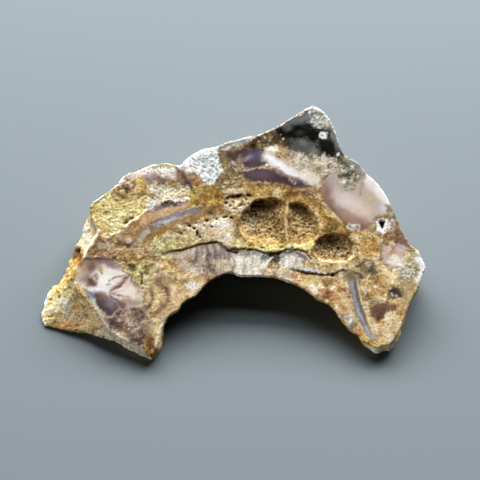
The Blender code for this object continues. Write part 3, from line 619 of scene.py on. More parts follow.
# Under the peak: the speckled patch and the milky streak
CLOUD_MARKS = [
    area([(284, 152), (300, 156), (318, 159), (340, 161), (350, 157), (358, 161), (366, 172), (362, 181),
        (352, 184), (350, 190), (344, 189), (334, 180), (324, 174), (312, 170), (296, 164)], OLIVE_ROCK,
        2.4, 1.8, gloss=0.35),
    area([(284, 150), (298, 153), (318, 156), (335, 158), (336, 163), (318, 165), (300, 165), (290, 160)],
        [(42, 34, 24), (104, 90, 70), (166, 152, 130), (218, 210, 194), (244, 240, 230)], 2.2, 1.6,
        gloss=0.3, shift=0.03),
    flecks([(284, 150), (310, 153), (334, 157), (336, 164), (310, 166), (290, 162)], 1.1, 0.34,
        (228, 220, 202), 2, 1.2, seed=337, strength=0.85),
    threads([(314, 160), (330, 160), (340, 164), (338, 176), (326, 172), (316, 168)], 1.7, 0.15,
        (216, 208, 190), 1.5, 1, seed=449, strength=0.8),
    line([(317, 162), (323, 163.5), (331, 161.8)], 1.6, (230, 224, 210), 1, 1.2, strength=0.85),
    line([(321, 168.5), (328, 169.5), (337, 169)], 1.6, (214, 206, 190), 1, 1.2, strength=0.75),
    area([(347, 158), (356, 156), (364, 163), (367, 172), (360, 174), (350, 168)], (138, 144, 142), 2.8,
        1.2, gloss=0.6, strength=0.85),
    spot(362.5, 174, 2.2, 4, (160, 154, 154), -10, 2, gloss=0.6, strength=0.8),
    *dots([(351.7, 167.2, 1.6), (345, 172, 1.2), (358, 176, 1), (340, 166, 0.9), (350, 187, 1)],
        (232, 228, 218), strength=0.9),
    flecks([(332, 160), (352, 166), (362, 176), (354, 184), (342, 182), (334, 172)], 1.2, 0.35,
        (62, 56, 40), 2, 1.2, seed=347, strength=0.8, sink=0.1),
    area([(290, 185), (302, 188), (318, 187), (324, 194), (308, 196), (292, 193)], BROWN_ROCK, 2.2, 1.6,
        shift=-0.1, strength=0.85),
    spot(283, 150, 5, 4, (196, 166, 126), 0, 2.6, 1.8, strength=0.8),
    area([(264, 148), (270, 145.5), (278, 146), (279, 151), (272, 154), (265, 152)], CREAM_CRUST, 1.6, 1.4,
        shift=0.12),
    line([(266, 156), (273, 160), (280, 165), (291, 171), (304, 176.4), (318, 179.6)], 8, (228, 218, 208),
        3.6, 1, last=11, gloss=0.8),
    line([(268, 157), (276, 163), (284, 168), (292, 172), (302, 175.5)], 5.4, (254, 252, 253), 2.8, 0.6,
        gloss=0.8),
    spot(291, 171.5, 6, 2.6, (242, 244, 252), 22, 2.6, gloss=0.85),
    area([(290, 164), (300, 167), (311, 171), (320, 176), (316, 181), (304, 178), (294, 170)],
        (236, 226, 208), 3.2, 1.2, gloss=0.5, strength=0.9),
    area([(284, 157), (296, 160), (306, 162), (322, 164), (324, 171), (312, 172), (298, 168), (288, 164)],
        [(84, 70, 50), (160, 144, 118), (208, 196, 174), (248, 244, 234)], 2.6, 1.2, gloss=0.4,
        strength=0.8),
    spot(287, 163, 2.6, 1.8, (222, 196, 184), 30, 1.8, 1, strength=0.7),
    line([(276, 170.5), (286, 176), (296, 181.5)], 2.2, (166, 146, 150), 2.2, 0.8, strength=0.6),
    *dots([(289, 179.2, 1), (291.5, 181.4, 0.9), (294.4, 182.8, 0.9)], (214, 198, 186), strength=0.8),
    line([(323, 177), (320, 184), (312, 188), (300, 189.5)], 2.2, (176, 150, 122), 1.8, 1, strength=0.7),
]

# The large milky pink chalcedony: its body, then what lies on it and the ringed eyes below it
PINK_OUTLINE = [
    (329, 174), (336, 173), (340, 182), (346, 190), (352, 189), (358, 183), (364, 176), (368, 171),
    (378, 182), (386, 191), (392, 205), (388, 214), (379, 216), (375, 223), (370, 230), (360, 231),
    (350, 227), (342, 222), (332, 212), (324, 201), (321, 190), (325, 180),
]
PINK_BODY_MARKS = [
    spot(350, 200, 40, 40, (198, 180, 168), 0, 2, gloss=0.9, flat=1),
    area([(320, 178), (328, 178), (333, 190), (338, 202), (350, 214), (366, 222), (366, 234), (344, 230),
        (318, 204)], (160, 130, 114), 6, 0.8),
    line([(326, 198), (331, 207), (340, 216), (352, 223)], 3.5, (126, 98, 80), 3.2, 0.8, strength=0.75),
    spot(326, 190, 3.5, 8, (138, 118, 108), -8, 3, strength=0.75),
    spot(332, 182, 4, 5, (168, 160, 166), 16, 4.5, strength=0.7),
    spot(343, 198, 9, 7, (212, 202, 202), 25, 6),
    spot(354, 204, 10, 7, (222, 212, 208), 18, 6, strength=0.9),
    spot(363, 210, 9, 6, (222, 202, 186), 16, 5, strength=0.85),
    spot(350, 217, 10, 4, (176, 144, 128), 20, 4, strength=0.8),
    spot(341, 188, 5, 4.5, (196, 190, 166), 30, 3.5, 1.2, strength=0.7),
    line([(337, 182), (343, 190), (352, 192)], 3, (168, 156, 128), 2.6, 1.4, strength=0.6),
    spot(369, 199, 6, 5, (198, 182, 158), -30, 4, strength=0.75),
    area([(366, 170), (382, 184), (394, 204), (386, 205), (376, 194), (370, 186), (364, 179)],
        (246, 240, 234), 3.6, 0.5),
    spot(384, 208, 5, 5, (214, 210, 222), 0, 3.4, strength=0.85),
    spot(371, 186, 5, 5, (226, 220, 220), 0, 3.4, strength=0.6),
    spot(366, 227, 6, 4, (136, 98, 88), 10, 3, strength=0.8),
    spot(358, 221, 5, 3, (160, 124, 108), 10, 3, strength=0.7),
]
PINK_MARKS = [
    line([(361.5, 183), (360.5, 188), (360.5, 194.5)], 1.5, (128, 112, 118), 1.6, 0.5, strength=0.75),
    area([(345, 184), (350, 181.5), (355, 184), (354, 189.5), (348, 191), (344, 188)], (192, 184, 168), 1.8,
        0.8, strength=0.7),
    line([(345, 189.5), (345, 185), (349, 182.5), (354, 184), (354.5, 188.5), (350, 190.5)], 0.9,
        (96, 86, 72), 0.8, 0.6, strength=0.75),
    line([(346, 184.5), (350, 186.5), (353, 190)], 0.9, (112, 100, 84), 0.8, 0.6, strength=0.65),
    # Painted highlight along the rim
    line([(366, 171), (374, 179), (382, 188), (389, 198)], 1.6, (254, 253, 250), 1.1, 0.4),
    line([(327, 175), (323, 181), (320.5, 190), (323, 200), (328, 207), (334, 213), (340, 219), (346, 225),
        (356, 230)], 1.3, (96, 70, 46), 1, 0.7, strength=0.8, sink=0.15),
    line([(319, 184), (318, 192), (320.5, 202), (326, 210), (333, 216.5), (340, 222.5)], 1.4,
        (220, 200, 162), 1.1, 0.9, strength=0.7),
    line([(324, 203), (332, 212), (341, 221)], 1.5, (206, 184, 148), 1.2, 0.9, strength=0.6),
    area([(363, 164), (368, 170), (366, 178), (360, 182)], (154, 148, 146), 2, 0.8, strength=0.6,
        gloss=0.5),
    area([(386, 204), (391, 205), (396, 215), (398, 224), (391, 223), (387, 214)],
        [(56, 50, 40), (102, 92, 74), (142, 130, 108), (192, 178, 150)], 1.6, 1),
    spot(391, 214, 1.4, 1, (222, 206, 174)),
    area([(369, 222), (376, 224), (377, 231), (370, 233)], [(96, 76, 48), (150, 134, 96), (190, 176, 136)],
        1.6, 1.2),
    line([(374, 219.5), (380, 216.4), (387, 217.5)], 1.8, (84, 70, 58), 1.2, 0.8, strength=0.8),
    spot(381.8, 225.8, 6.4, 8.2, (250, 248, 244), 8, 1.1, 0.8),
    # Painted shade: the ring's hole is painted near black
    area([(378.6, 222), (381, 220.6), (384.6, 221.5), (384.4, 226), (382.6, 229.6), (380.4, 226.5)],
        (14, 11, 10), 0.8, 0.3, sink=1.1),
    spot(385, 230, 2.2, 1.8, (218, 206, 188), 0, 1.4, 0.8, strength=0.7),
    spot(392, 225.4, 3.7, 4.9, (214, 208, 198), 5, 1.2, 0.9),
    spot(392.2, 225.4, 1.9, 2.8, (148, 138, 124), 10, 1.3, 0.9, strength=0.9),
    line([(389.5, 221), (388.7, 225), (390, 229)], 1.2, (246, 243, 238), 0.8, 0.6),
    spot(350.5, 226.4, 3.6, 2.9, (220, 214, 196), 10, 1.2, 1.2),
    spot(350.2, 226.6, 1.8, 1.1, (70, 64, 50), 30, 1, 1, strength=0.9),
    spot(357.6, 226.4, 3, 2.8, (214, 210, 198), -10, 1.2, 1.2),
    spot(357.4, 226.8, 1.4, 1.2, (64, 60, 52), 0, 1, 0.9, strength=0.9),
    spot(354, 224.8, 1.5, 1, (240, 236, 224), 0, 0.9, 0.8),
    line([(346.6, 222.5), (345.4, 226), (347, 229.5), (352, 230.4)], 1.4, (72, 52, 32), 1, 0.9,
        strength=0.8),
    line([(361, 224), (362, 228), (360, 230.5)], 1.1, (96, 76, 62), 0.9, 0.8, strength=0.7),
]

# Round the shallow pocket: golden rock, a pale crust and holes
POCKET_MARKS = [
    area([(191, 190), (206, 186), (220, 188), (226, 196), (222, 206), (208, 209), (194, 204)],
        [(58, 40, 8), (120, 86, 30), (166, 126, 54), (206, 172, 96), (236, 214, 150)], 3, 1.8),
    spot(196, 193, 4.5, 5.5, (196, 178, 98), 15, 2.4, 1.6, strength=0.8),
    line([(190.5, 186), (193, 190), (196, 194.5)], 1.6, (72, 60, 26), 1.1, 1, strength=0.85),
    flecks([(205, 194), (226, 194), (224, 206), (206, 208)], 1.1, 0.3, (82, 60, 24), 2, 1.2, seed=353,
        strength=0.8, sink=0.1),
    area([(222, 192), (230, 188.5), (240, 188), (249, 190), (246, 193.5), (234, 192.5), (226, 195.5)],
        [(96, 76, 44), (164, 140, 96), (208, 186, 144), (236, 220, 188)], 2, 1.4, shift=0.08),
    line([(224, 196.5), (232, 191.8), (242, 191)], 1.6, (196, 170, 140), 1.2, 1, strength=0.8),
    area([(249, 186), (262, 186.5), (274, 190), (266, 196), (252, 194)], GOLDEN, 2.4, 1.6, shift=0.14,
        strength=0.8),
    area([(272, 189), (280, 188), (283, 197), (275, 199)], (232, 212, 162), 2.2, 1.4, strength=0.7),
    area([(306, 188), (316, 190), (320, 200), (308, 196)], PALE_POROUS, 2.2, 1.4, strength=0.7),
    line([(284, 187), (296, 190), (307, 194)], 2.4, (92, 66, 34), 2, 1.2, strength=0.6),
    area([(222, 204), (228, 197), (240, 198), (252, 198), (252, 204), (244, 210), (234, 212), (226, 210)],
        [(52, 28, 14), (126, 92, 60), (190, 160, 118), (228, 208, 172), (250, 242, 226)], 1.8, 1.2,
        shift=0.02),
    threads([(224, 194), (236, 192), (252, 194), (252, 203), (240, 210), (226, 208)], 1.3, 0.17,
        (232, 212, 172), 1.2, 0.8, seed=457, strength=0.75, sink=-0.08),
    line([(227, 209), (234, 212), (242, 210.8), (249, 206), (253, 200)], 1.8, (240, 226, 204), 1.1, 0.9,
        strength=0.9),
]
POCKET_HOLES = holes([
    (228, 198.4, 2.4, 1.3, -20), (239, 196, 3.2, 1.7, -5), (249.3, 195.8, 2.2, 1.5, 10),
    (241, 205, 3, 1.4, -14), (232.6, 202.4, 1.3, 1.1, 0), (235.4, 208.4, 1.4, 0.8, 0),
    (245.6, 199.8, 1.1, 1, 0), (226.4, 203, 0.9, 1.1, 0), (233.6, 197.6, 0.9, 0.8, 0),
    (248.4, 203.6, 0.9, 0.8, 0), (230, 206.6, 0.8, 0.8, 0),
], 0.4, (46, 22, 12))

# The pale porous rock left of the hollows, with its holes
POROUS_MARKS = [
    area([(150, 252), (160, 250), (172, 250), (175, 258), (162, 260), (152, 258)],
        [(120, 112, 70), (180, 170, 120), (214, 204, 160), (240, 232, 200)], 2.4, 1.6, gloss=0.2),
    area([(212, 226), (222, 221), (232, 222), (234, 232), (230, 242), (220, 240), (212, 234)],
        [(118, 92, 60), (184, 154, 118), (222, 198, 164), (246, 234, 208)], 2.4, 1.6, shift=0.08),
    area([(204, 207), (222, 205), (236, 211), (226, 215), (208, 215)], GOLDEN, 2.2, 1.6, shift=-0.1,
        strength=0.85),
    area([(176, 236), (190, 238), (204, 241), (196, 244), (178, 243)], GOLDEN, 2.4, 1.6, shift=0.1,
        strength=0.5),
    area([(226, 220), (236, 214), (246, 210), (248, 220), (244, 234), (238, 246), (231, 247), (236, 232)],
        [(72, 52, 22), (146, 118, 66), (190, 160, 102), (222, 196, 142)], 2.6, 1.5, strength=0.9),
    line([(234.5, 232), (235.5, 239), (234, 244)], 1.8, (136, 100, 56), 1.4, 1, strength=0.7),
    line([(183, 222), (190, 225), (196, 229), (203, 238)], 4, (142, 104, 58), 2.6, 1.4, strength=0.5),
    flecks([(164, 234), (184, 224), (206, 216), (236, 214), (232, 236), (206, 241), (176, 246)], 1.25, 0.26,
        (112, 80, 44), 2, 1.2, seed=359, strength=0.75, sink=0.12),
    area([(214, 222), (226, 218), (234, 223), (234, 238), (224, 243), (215, 236)], [(176, 146, 104),
        (230, 210, 172), (246, 234, 206), (255, 248, 232)], 3, 1, shift=0.06, strength=0.8),
]
POROUS_HOLES = holes([
    (188, 226, 3.2, 1.2, 14), (193.5, 229, 1.4, 1, 20), (197.5, 233.5, 2.6, 1.8, 50),
    (200.6, 237.6, 1.5, 1, 50), (207, 220, 1.5, 1, 0), (225, 217, 2.4, 1, -14),
    (232.5, 217.8, 2.2, 0.9, 12), (217.5, 219.5, 0.8, 1, 0), (212, 227, 0.8, 0.7, 0),
    (181, 233, 0.9, 0.7, 0), (204, 226, 0.8, 0.6, 0),
], 0.4, (52, 32, 14))

# The pale lip in front of the hollows, the wall between them and their edges
LIP_MARKS = [
    area([(234, 240), (246, 243), (260, 245), (276, 246), (298, 245.5), (311, 243), (314, 240), (316, 246),
        (304, 251), (284, 249.5), (270, 253), (254, 249.5), (238, 248)], [(160, 126, 56), (220, 194, 106),
        (242, 226, 142), (250, 242, 172), (255, 252, 216)], 1.6, 1.1, shift=0.05, strength=0.95),
    spot(301, 247.5, 8, 2, (252, 240, 158), -4, 2, 0.9, strength=0.7),
    *holes([(250, 245.8, 1.2, 0.7, 0), (262, 247.5, 1.6, 0.7, 10), (281, 247, 1.2, 0.6, -10),
        (292, 247.8, 1.3, 0.6, 0)], 0.3, (138, 98, 38)),
    area([(283.4, 203), (290, 203), (289.4, 214), (290, 226), (290.6, 241), (284.4, 241), (283, 226)],
        SPONGE, 1.2, 0.5),
    line([(287.5, 203), (286, 210), (285.6, 216), (286.4, 226), (287.8, 240)], 1.6, (232, 204, 158), 0.9,
        0.6, strength=0.9),
    line([(316, 209), (319, 218), (320.5, 228), (318, 236)], 1.8, (226, 208, 170), 1.2, 0.9, strength=0.75),
    line([(232, 214), (240, 206), (250, 199.5), (262, 195.5), (276, 197), (284, 201)], 1.4, (206, 178, 120),
        1, 0.9, strength=0.7),
    line([(289, 201), (300, 197.5), (309, 201), (316, 208)], 1.4, (196, 166, 108), 1, 0.9, strength=0.7),
    line([(354.5, 243), (357.5, 252), (356, 260)], 1.6, (98, 78, 44), 1.2, 0.9, strength=0.8),
    area([(309, 254), (318, 258.5), (334, 261), (348, 259), (356, 256), (358, 263), (348, 268), (334, 269),
        (318, 267), (308, 262)], [(112, 84, 46), (190, 162, 112), (222, 200, 152), (244, 232, 200)], 1.8,
        1.4, shift=0.02),
]

# Zones of the hollows' sponge: walls, floors, dark cells and pale ridges
VUG_MARKS = [
    area([(244, 206), (252, 199), (270, 196), (284, 201), (284, 209), (270, 210), (256, 211), (248, 214)],
        [(58, 30, 6), (122, 76, 24), (164, 114, 52), (196, 152, 90), (232, 200, 144)], 2.6, 1.4,
        strength=0.95),
    area([(288, 206), (298, 201), (310, 206), (318, 216), (312, 220), (304, 212), (294, 210)],
        [(72, 40, 12), (150, 104, 48), (190, 148, 86), (222, 188, 130), (244, 222, 174)], 2.6, 1.4,
        strength=0.95),
    area([(310, 246), (313, 240), (322, 234), (340, 231), (353, 239), (350, 243), (336, 240), (320, 245)],
        [(50, 22, 6), (134, 84, 40), (186, 136, 78), (222, 182, 128), (246, 222, 180)], 2.6, 1.4,
        strength=0.95),
    spot(251.5, 224, 6.5, 6.5, (186, 172, 144), 0, 3.4, 1.4, strength=0.75),
    spot(268, 224, 9, 7, (184, 144, 84), 0, 4.5, 1, strength=0.5),
    spot(303, 224, 9, 8, (232, 198, 142), 0, 4.5, 1, strength=0.55),
    spot(326, 254.5, 9, 4, (118, 84, 40), 0, 3, 1, strength=0.5),
    area([(318, 255), (330, 258), (344, 257), (352, 251), (354, 257), (344, 261), (328, 262), (316, 259)],
        (132, 96, 50), 2, 0.8, strength=0.8),
    line([(312, 245), (314, 252), (320, 258)], 2.6, (116, 66, 28), 2, 0.8, strength=0.6),
    flecks([(312, 242), (330, 232), (352, 240), (350, 252), (322, 256)], 1.8, 0.3, (40, 20, 8), 2, 0.8,
        seed=487, strength=0.8, sink=0.35),
    flecks([(314, 244), (332, 234), (350, 242), (348, 254), (322, 256)], 1, 0.22, (236, 220, 204), 2,
        0.8, seed=491, strength=0.8, sink=-0.1),
    line([(236, 218), (239, 228), (243, 238)], 6, (188, 158, 98), 3, 1.2, strength=0.8),
    line([(248, 238), (262, 241), (278, 241)], 4, (214, 192, 124), 2.6, 1.4, strength=0.6),
    line([(290, 240), (302, 240), (314, 234)], 4, (186, 150, 84), 2.6, 1.4, strength=0.5),
    flecks([(244, 208), (284, 204), (284, 240), (250, 240)], 1.3, 0.35, (66, 38, 12), 2, 0.8, seed=367,
        strength=0.65, sink=0.25),
    flecks([(290, 208), (316, 212), (318, 236), (292, 242)], 1.2, 0.35, (70, 40, 14), 2, 0.8, seed=373,
        strength=0.65, sink=0.25),
    threads([(240, 206), (284, 200), (284, 244), (246, 242)], 1.7, 0.16, (214, 190, 134), 2, 0.6,
        seed=461, strength=0.65, sink=-0.1),
    threads([(290, 204), (318, 208), (318, 240), (292, 244)], 1.5, 0.14, (190, 154, 96), 2, 0.6, seed=463,
        strength=0.6, sink=-0.1),
    threads([(310, 240), (330, 230), (354, 238), (352, 258), (318, 258)], 1.4, 0.15, (224, 200, 160), 2,
        0.6, seed=467, strength=0.6, sink=-0.1),
]

# The long cracks under the two ledges, painted dark as the ledges' shadow: each stretch with its width and
# its paint.
# A hole lies beside them, painted dark as the shade in it.
CRACK_SHADOW_BLACK = (12, 9, 8)
CRACKS_AND_SHADOWS = [
    ([(172.5, 250.6), (182, 249.6), (190, 247.4), (198, 245), (207, 243.2), (217, 242)], 1.2, (52, 38, 26)),
    ([(217, 242), (221.5, 244.5), (225, 247), (228.5, 249.6)], 1.4, (88, 78, 70)),
    ([(228, 250), (232.5, 251.8), (237.5, 252.4)], 2.4, CRACK_SHADOW_BLACK),
    ([(231.6, 249.4), (239, 248.8), (246, 248.6), (252, 249.4), (258, 251.2), (266, 253.2)], 1.8,
        CRACK_SHADOW_BLACK),
    ([(266, 253.2), (274.7, 253.6), (280.3, 252.6), (286, 249.9)], 1.8, (22, 18, 14)),
    ([(286, 249.9), (292, 249.4), (298, 250.2), (304, 252.4)], 1.8, (30, 24, 18)),
    ([(304, 252.4), (307.5, 255.4), (311, 259)], 1.3, (58, 44, 30)),
    ([(290.5, 269.6), (298.5, 270.7)], 1.2, (60, 44, 28)),
    ([(298.5, 270.7), (305, 272.4), (311, 273.6), (316, 274)], 1.8, (26, 20, 16)),
    ([(316, 274), (324, 275), (331, 274.6), (337, 272.4), (343, 270.6)], 1.2, (64, 50, 34)),
    ([(343, 270.6), (351, 271.6), (358, 274.2), (362.5, 278)], 1.4, (60, 48, 36)),
]
# Each crack is dented a little and painted dark as the ledge's shadow
CRACK_AND_SHADOW_MARKS = [
    *[line(points, width, paint, 0.8, 0.3, strength=0.92, sink=0.3) for points, width, paint in CRACKS_AND_SHADOWS],
    spot(333, 275.4, 1.8, 1, (34, 24, 16), 0, 1, 0.8, sink=0.5),
]

# The fibrous band under the ledges, in three parts
GREY_FIBRE = [(70, 58, 54), (112, 98, 90), (146, 128, 116), (182, 162, 142), (216, 202, 182)]
WHITE_FIBRE = [(122, 112, 92), (186, 178, 160), (220, 214, 196), (238, 234, 220), (252, 251, 246)]
BAND_LEFT = [
    (172, 252), (190, 248.5), (205, 244), (217, 242), (228, 250), (234, 262), (232, 274), (222, 277),
    (200, 274), (180, 270), (176, 260),
]
BAND_MIDDLE = [
    (231, 253), (243, 250.5), (256, 250.5), (266, 254), (270, 262), (264, 270), (262, 279), (234, 279),
]
BAND_RIGHT = [
    (276, 262), (280, 254), (288, 251), (298, 251), (306, 257), (310, 266), (300, 270), (292, 284),
    (278, 282),
]
GREY_BAND_MARKS = [
    line([(196, 246), (196.6, 253), (196.8, 262)], 2.6, (88, 76, 78), 2.2, 1, strength=0.8),
    line([(208.4, 244.5), (209, 254), (209, 266)], 2.4, (98, 84, 80), 2.2, 1, strength=0.8),
    line([(214, 243), (214.6, 249), (216, 256)], 2.4, (90, 78, 78), 2, 1, strength=0.75),
    line([(202.6, 244.6), (203, 252)], 3.6, (122, 110, 112), 2.4, 1, strength=0.7),
    spot(224, 251, 5, 3.5, (136, 126, 132), 30, 2.6, 1.2, strength=0.75),
    line([(220, 245), (225, 248.5), (229, 252)], 3, (118, 110, 112), 2.2, 1.2, strength=0.7),
    line([(193.2, 249), (193, 254), (192.4, 260)], 2.2, (228, 216, 196), 1.8, 1, strength=0.85),
    line([(200, 248), (200.4, 256), (200, 262)], 1.6, (196, 180, 160), 1.5, 1, strength=0.6),
    area([(174, 254), (190, 252), (192, 268), (184, 272), (176, 266)],
        [(120, 88, 66), (178, 148, 120), (214, 192, 166), (240, 226, 204)], 2.6, 1.4, strength=0.85),
    spot(181, 253.5, 5, 2.6, (206, 188, 164), -10, 2.4, 1.4, strength=0.75),
    flecks([(198, 260), (214, 260), (216, 276), (199, 277)], 1.2, 0.45, (112, 66, 48), 2, 1, seed=379,
        strength=0.8),
    area([(216, 262), (228, 258), (232, 264), (230, 276), (219, 276)], (212, 192, 166), 3, 1.6,
        strength=0.75),
    line([(222, 258), (222, 266), (224, 274)], 1.6, (150, 128, 106), 1.6, 1, strength=0.6),
    line([(230.5, 254), (233.5, 259), (234.4, 266), (232.5, 275)], 2, (112, 94, 78), 1.4, 1,
        strength=0.85),
    # Painted shadow: grey just under the ledge, and a darker spot at its right end
    line([(232, 253.6), (240, 253.4), (250, 254), (262, 256.4), (270, 257.6)], 3.4, (122, 120, 116), 2.6,
        1, strength=0.75),
    spot(264.5, 258.6, 3.6, 3.2, (84, 84, 78), -10, 2.2, 1.2, strength=0.85),
    line([(244, 258), (244.6, 267), (244, 276)], 1.4, (166, 156, 134), 1.4, 1, strength=0.7),
    line([(252, 259), (252, 268), (253, 277)], 1.6, (176, 164, 140), 1.5, 1, strength=0.7),
    line([(239, 258), (238.6, 266), (239, 274)], 2, (236, 234, 224), 1.6, 1, strength=0.7),
    line([(248, 258), (248.6, 266), (248, 274)], 1.8, (240, 238, 228), 1.5, 1, strength=0.7),
    spot(258, 268, 4, 5, (222, 208, 184), 0, 2.8, 1.4, strength=0.6),
    # Painted shadow: grey under the ledge's right part
    line([(282, 254), (290, 252.6), (300, 253.6), (306, 257)], 3.4, (132, 128, 122), 2.6, 1,
        strength=0.7),
    # Painted highlight on a lobe
    spot(292, 258.5, 6, 3, (238, 236, 228), -8, 2.6, 0.8, strength=0.85),
    line([(283.5, 256), (282.6, 264), (284, 273)], 1.8, (158, 150, 132), 1.8, 1, strength=0.75),
    line([(297, 257), (296, 264), (293, 272)], 1.8, (164, 152, 126), 1.8, 1, strength=0.7),
    line([(301.5, 252.5), (306, 258.5), (308, 265)], 2.6, (142, 104, 72), 2, 1.2, strength=0.8),
    line([(299, 256), (302, 261), (302.4, 266)], 1.4, (170, 140, 106), 1.4, 1, strength=0.7),
    area([(277, 265), (290, 266), (293, 280), (279, 281)],
        [(134, 108, 70), (196, 174, 132), (232, 218, 188)], 2.6, 1.6, shift=0.08, strength=0.8),
    area([(262, 270), (270, 267), (277, 269), (278, 280), (263, 280)],
        [(120, 92, 58), (186, 160, 122), (226, 210, 182)], 2.4, 1.6, strength=0.85),
    area([(268, 253), (275, 254.5), (281, 253), (280.6, 258), (278, 264), (278.4, 269), (275, 265),
        (270.5, 260)], (66, 60, 50), 2.2, 0.9, sink=0.35),
    line([(276, 256), (278, 262), (278, 268)], 1.6, (112, 84, 52), 1.4, 1, strength=0.7),
    # Painted glint
    line([(272.4, 257), (269, 260.6), (265.6, 263.7)], 1.2, (252, 252, 250), 0.8, 0.4, gloss=0.8),
    line([(265, 264.5), (261, 268), (256, 271)], 1, (226, 214, 188), 0.9, 0.6, strength=0.75),
    area([(300, 262), (312, 261), (330, 265), (352, 266), (360, 271), (345, 270), (330, 273), (312, 272),
        (301, 268)], PALE_POROUS, 2.2, 1.6, shift=0.02),
    # Painted highlight on the ledge's edge
    line([(302, 253), (306, 256), (310, 261)], 1, (230, 222, 206), 0.8, 0.6, strength=0.8),
    area([(297, 267), (308, 267), (320, 270), (321, 273), (308, 271.4), (297, 270)],
        [(138, 134, 128), (202, 204, 204), (238, 240, 244)], 1.2, 1, shift=0.06),
    area([(290, 272), (302, 272.6), (314, 275), (316, 281), (304, 283), (293, 280)], [(76, 44, 16),
        (158, 108, 54), (206, 160, 96), (238, 216, 166)], 2.2, 1.6, shift=0.04, strength=0.85),
    line([(322, 276.6), (328, 278), (336, 278.4), (343, 276.6)], 2.2, (212, 202, 190), 1.4, 1,
        strength=0.75),
    area([(309, 281), (320, 279), (326, 284), (318, 290), (310, 288)], GREEN_POROUS, 2.2, 1.6, shift=0.14,
        strength=0.8),
]

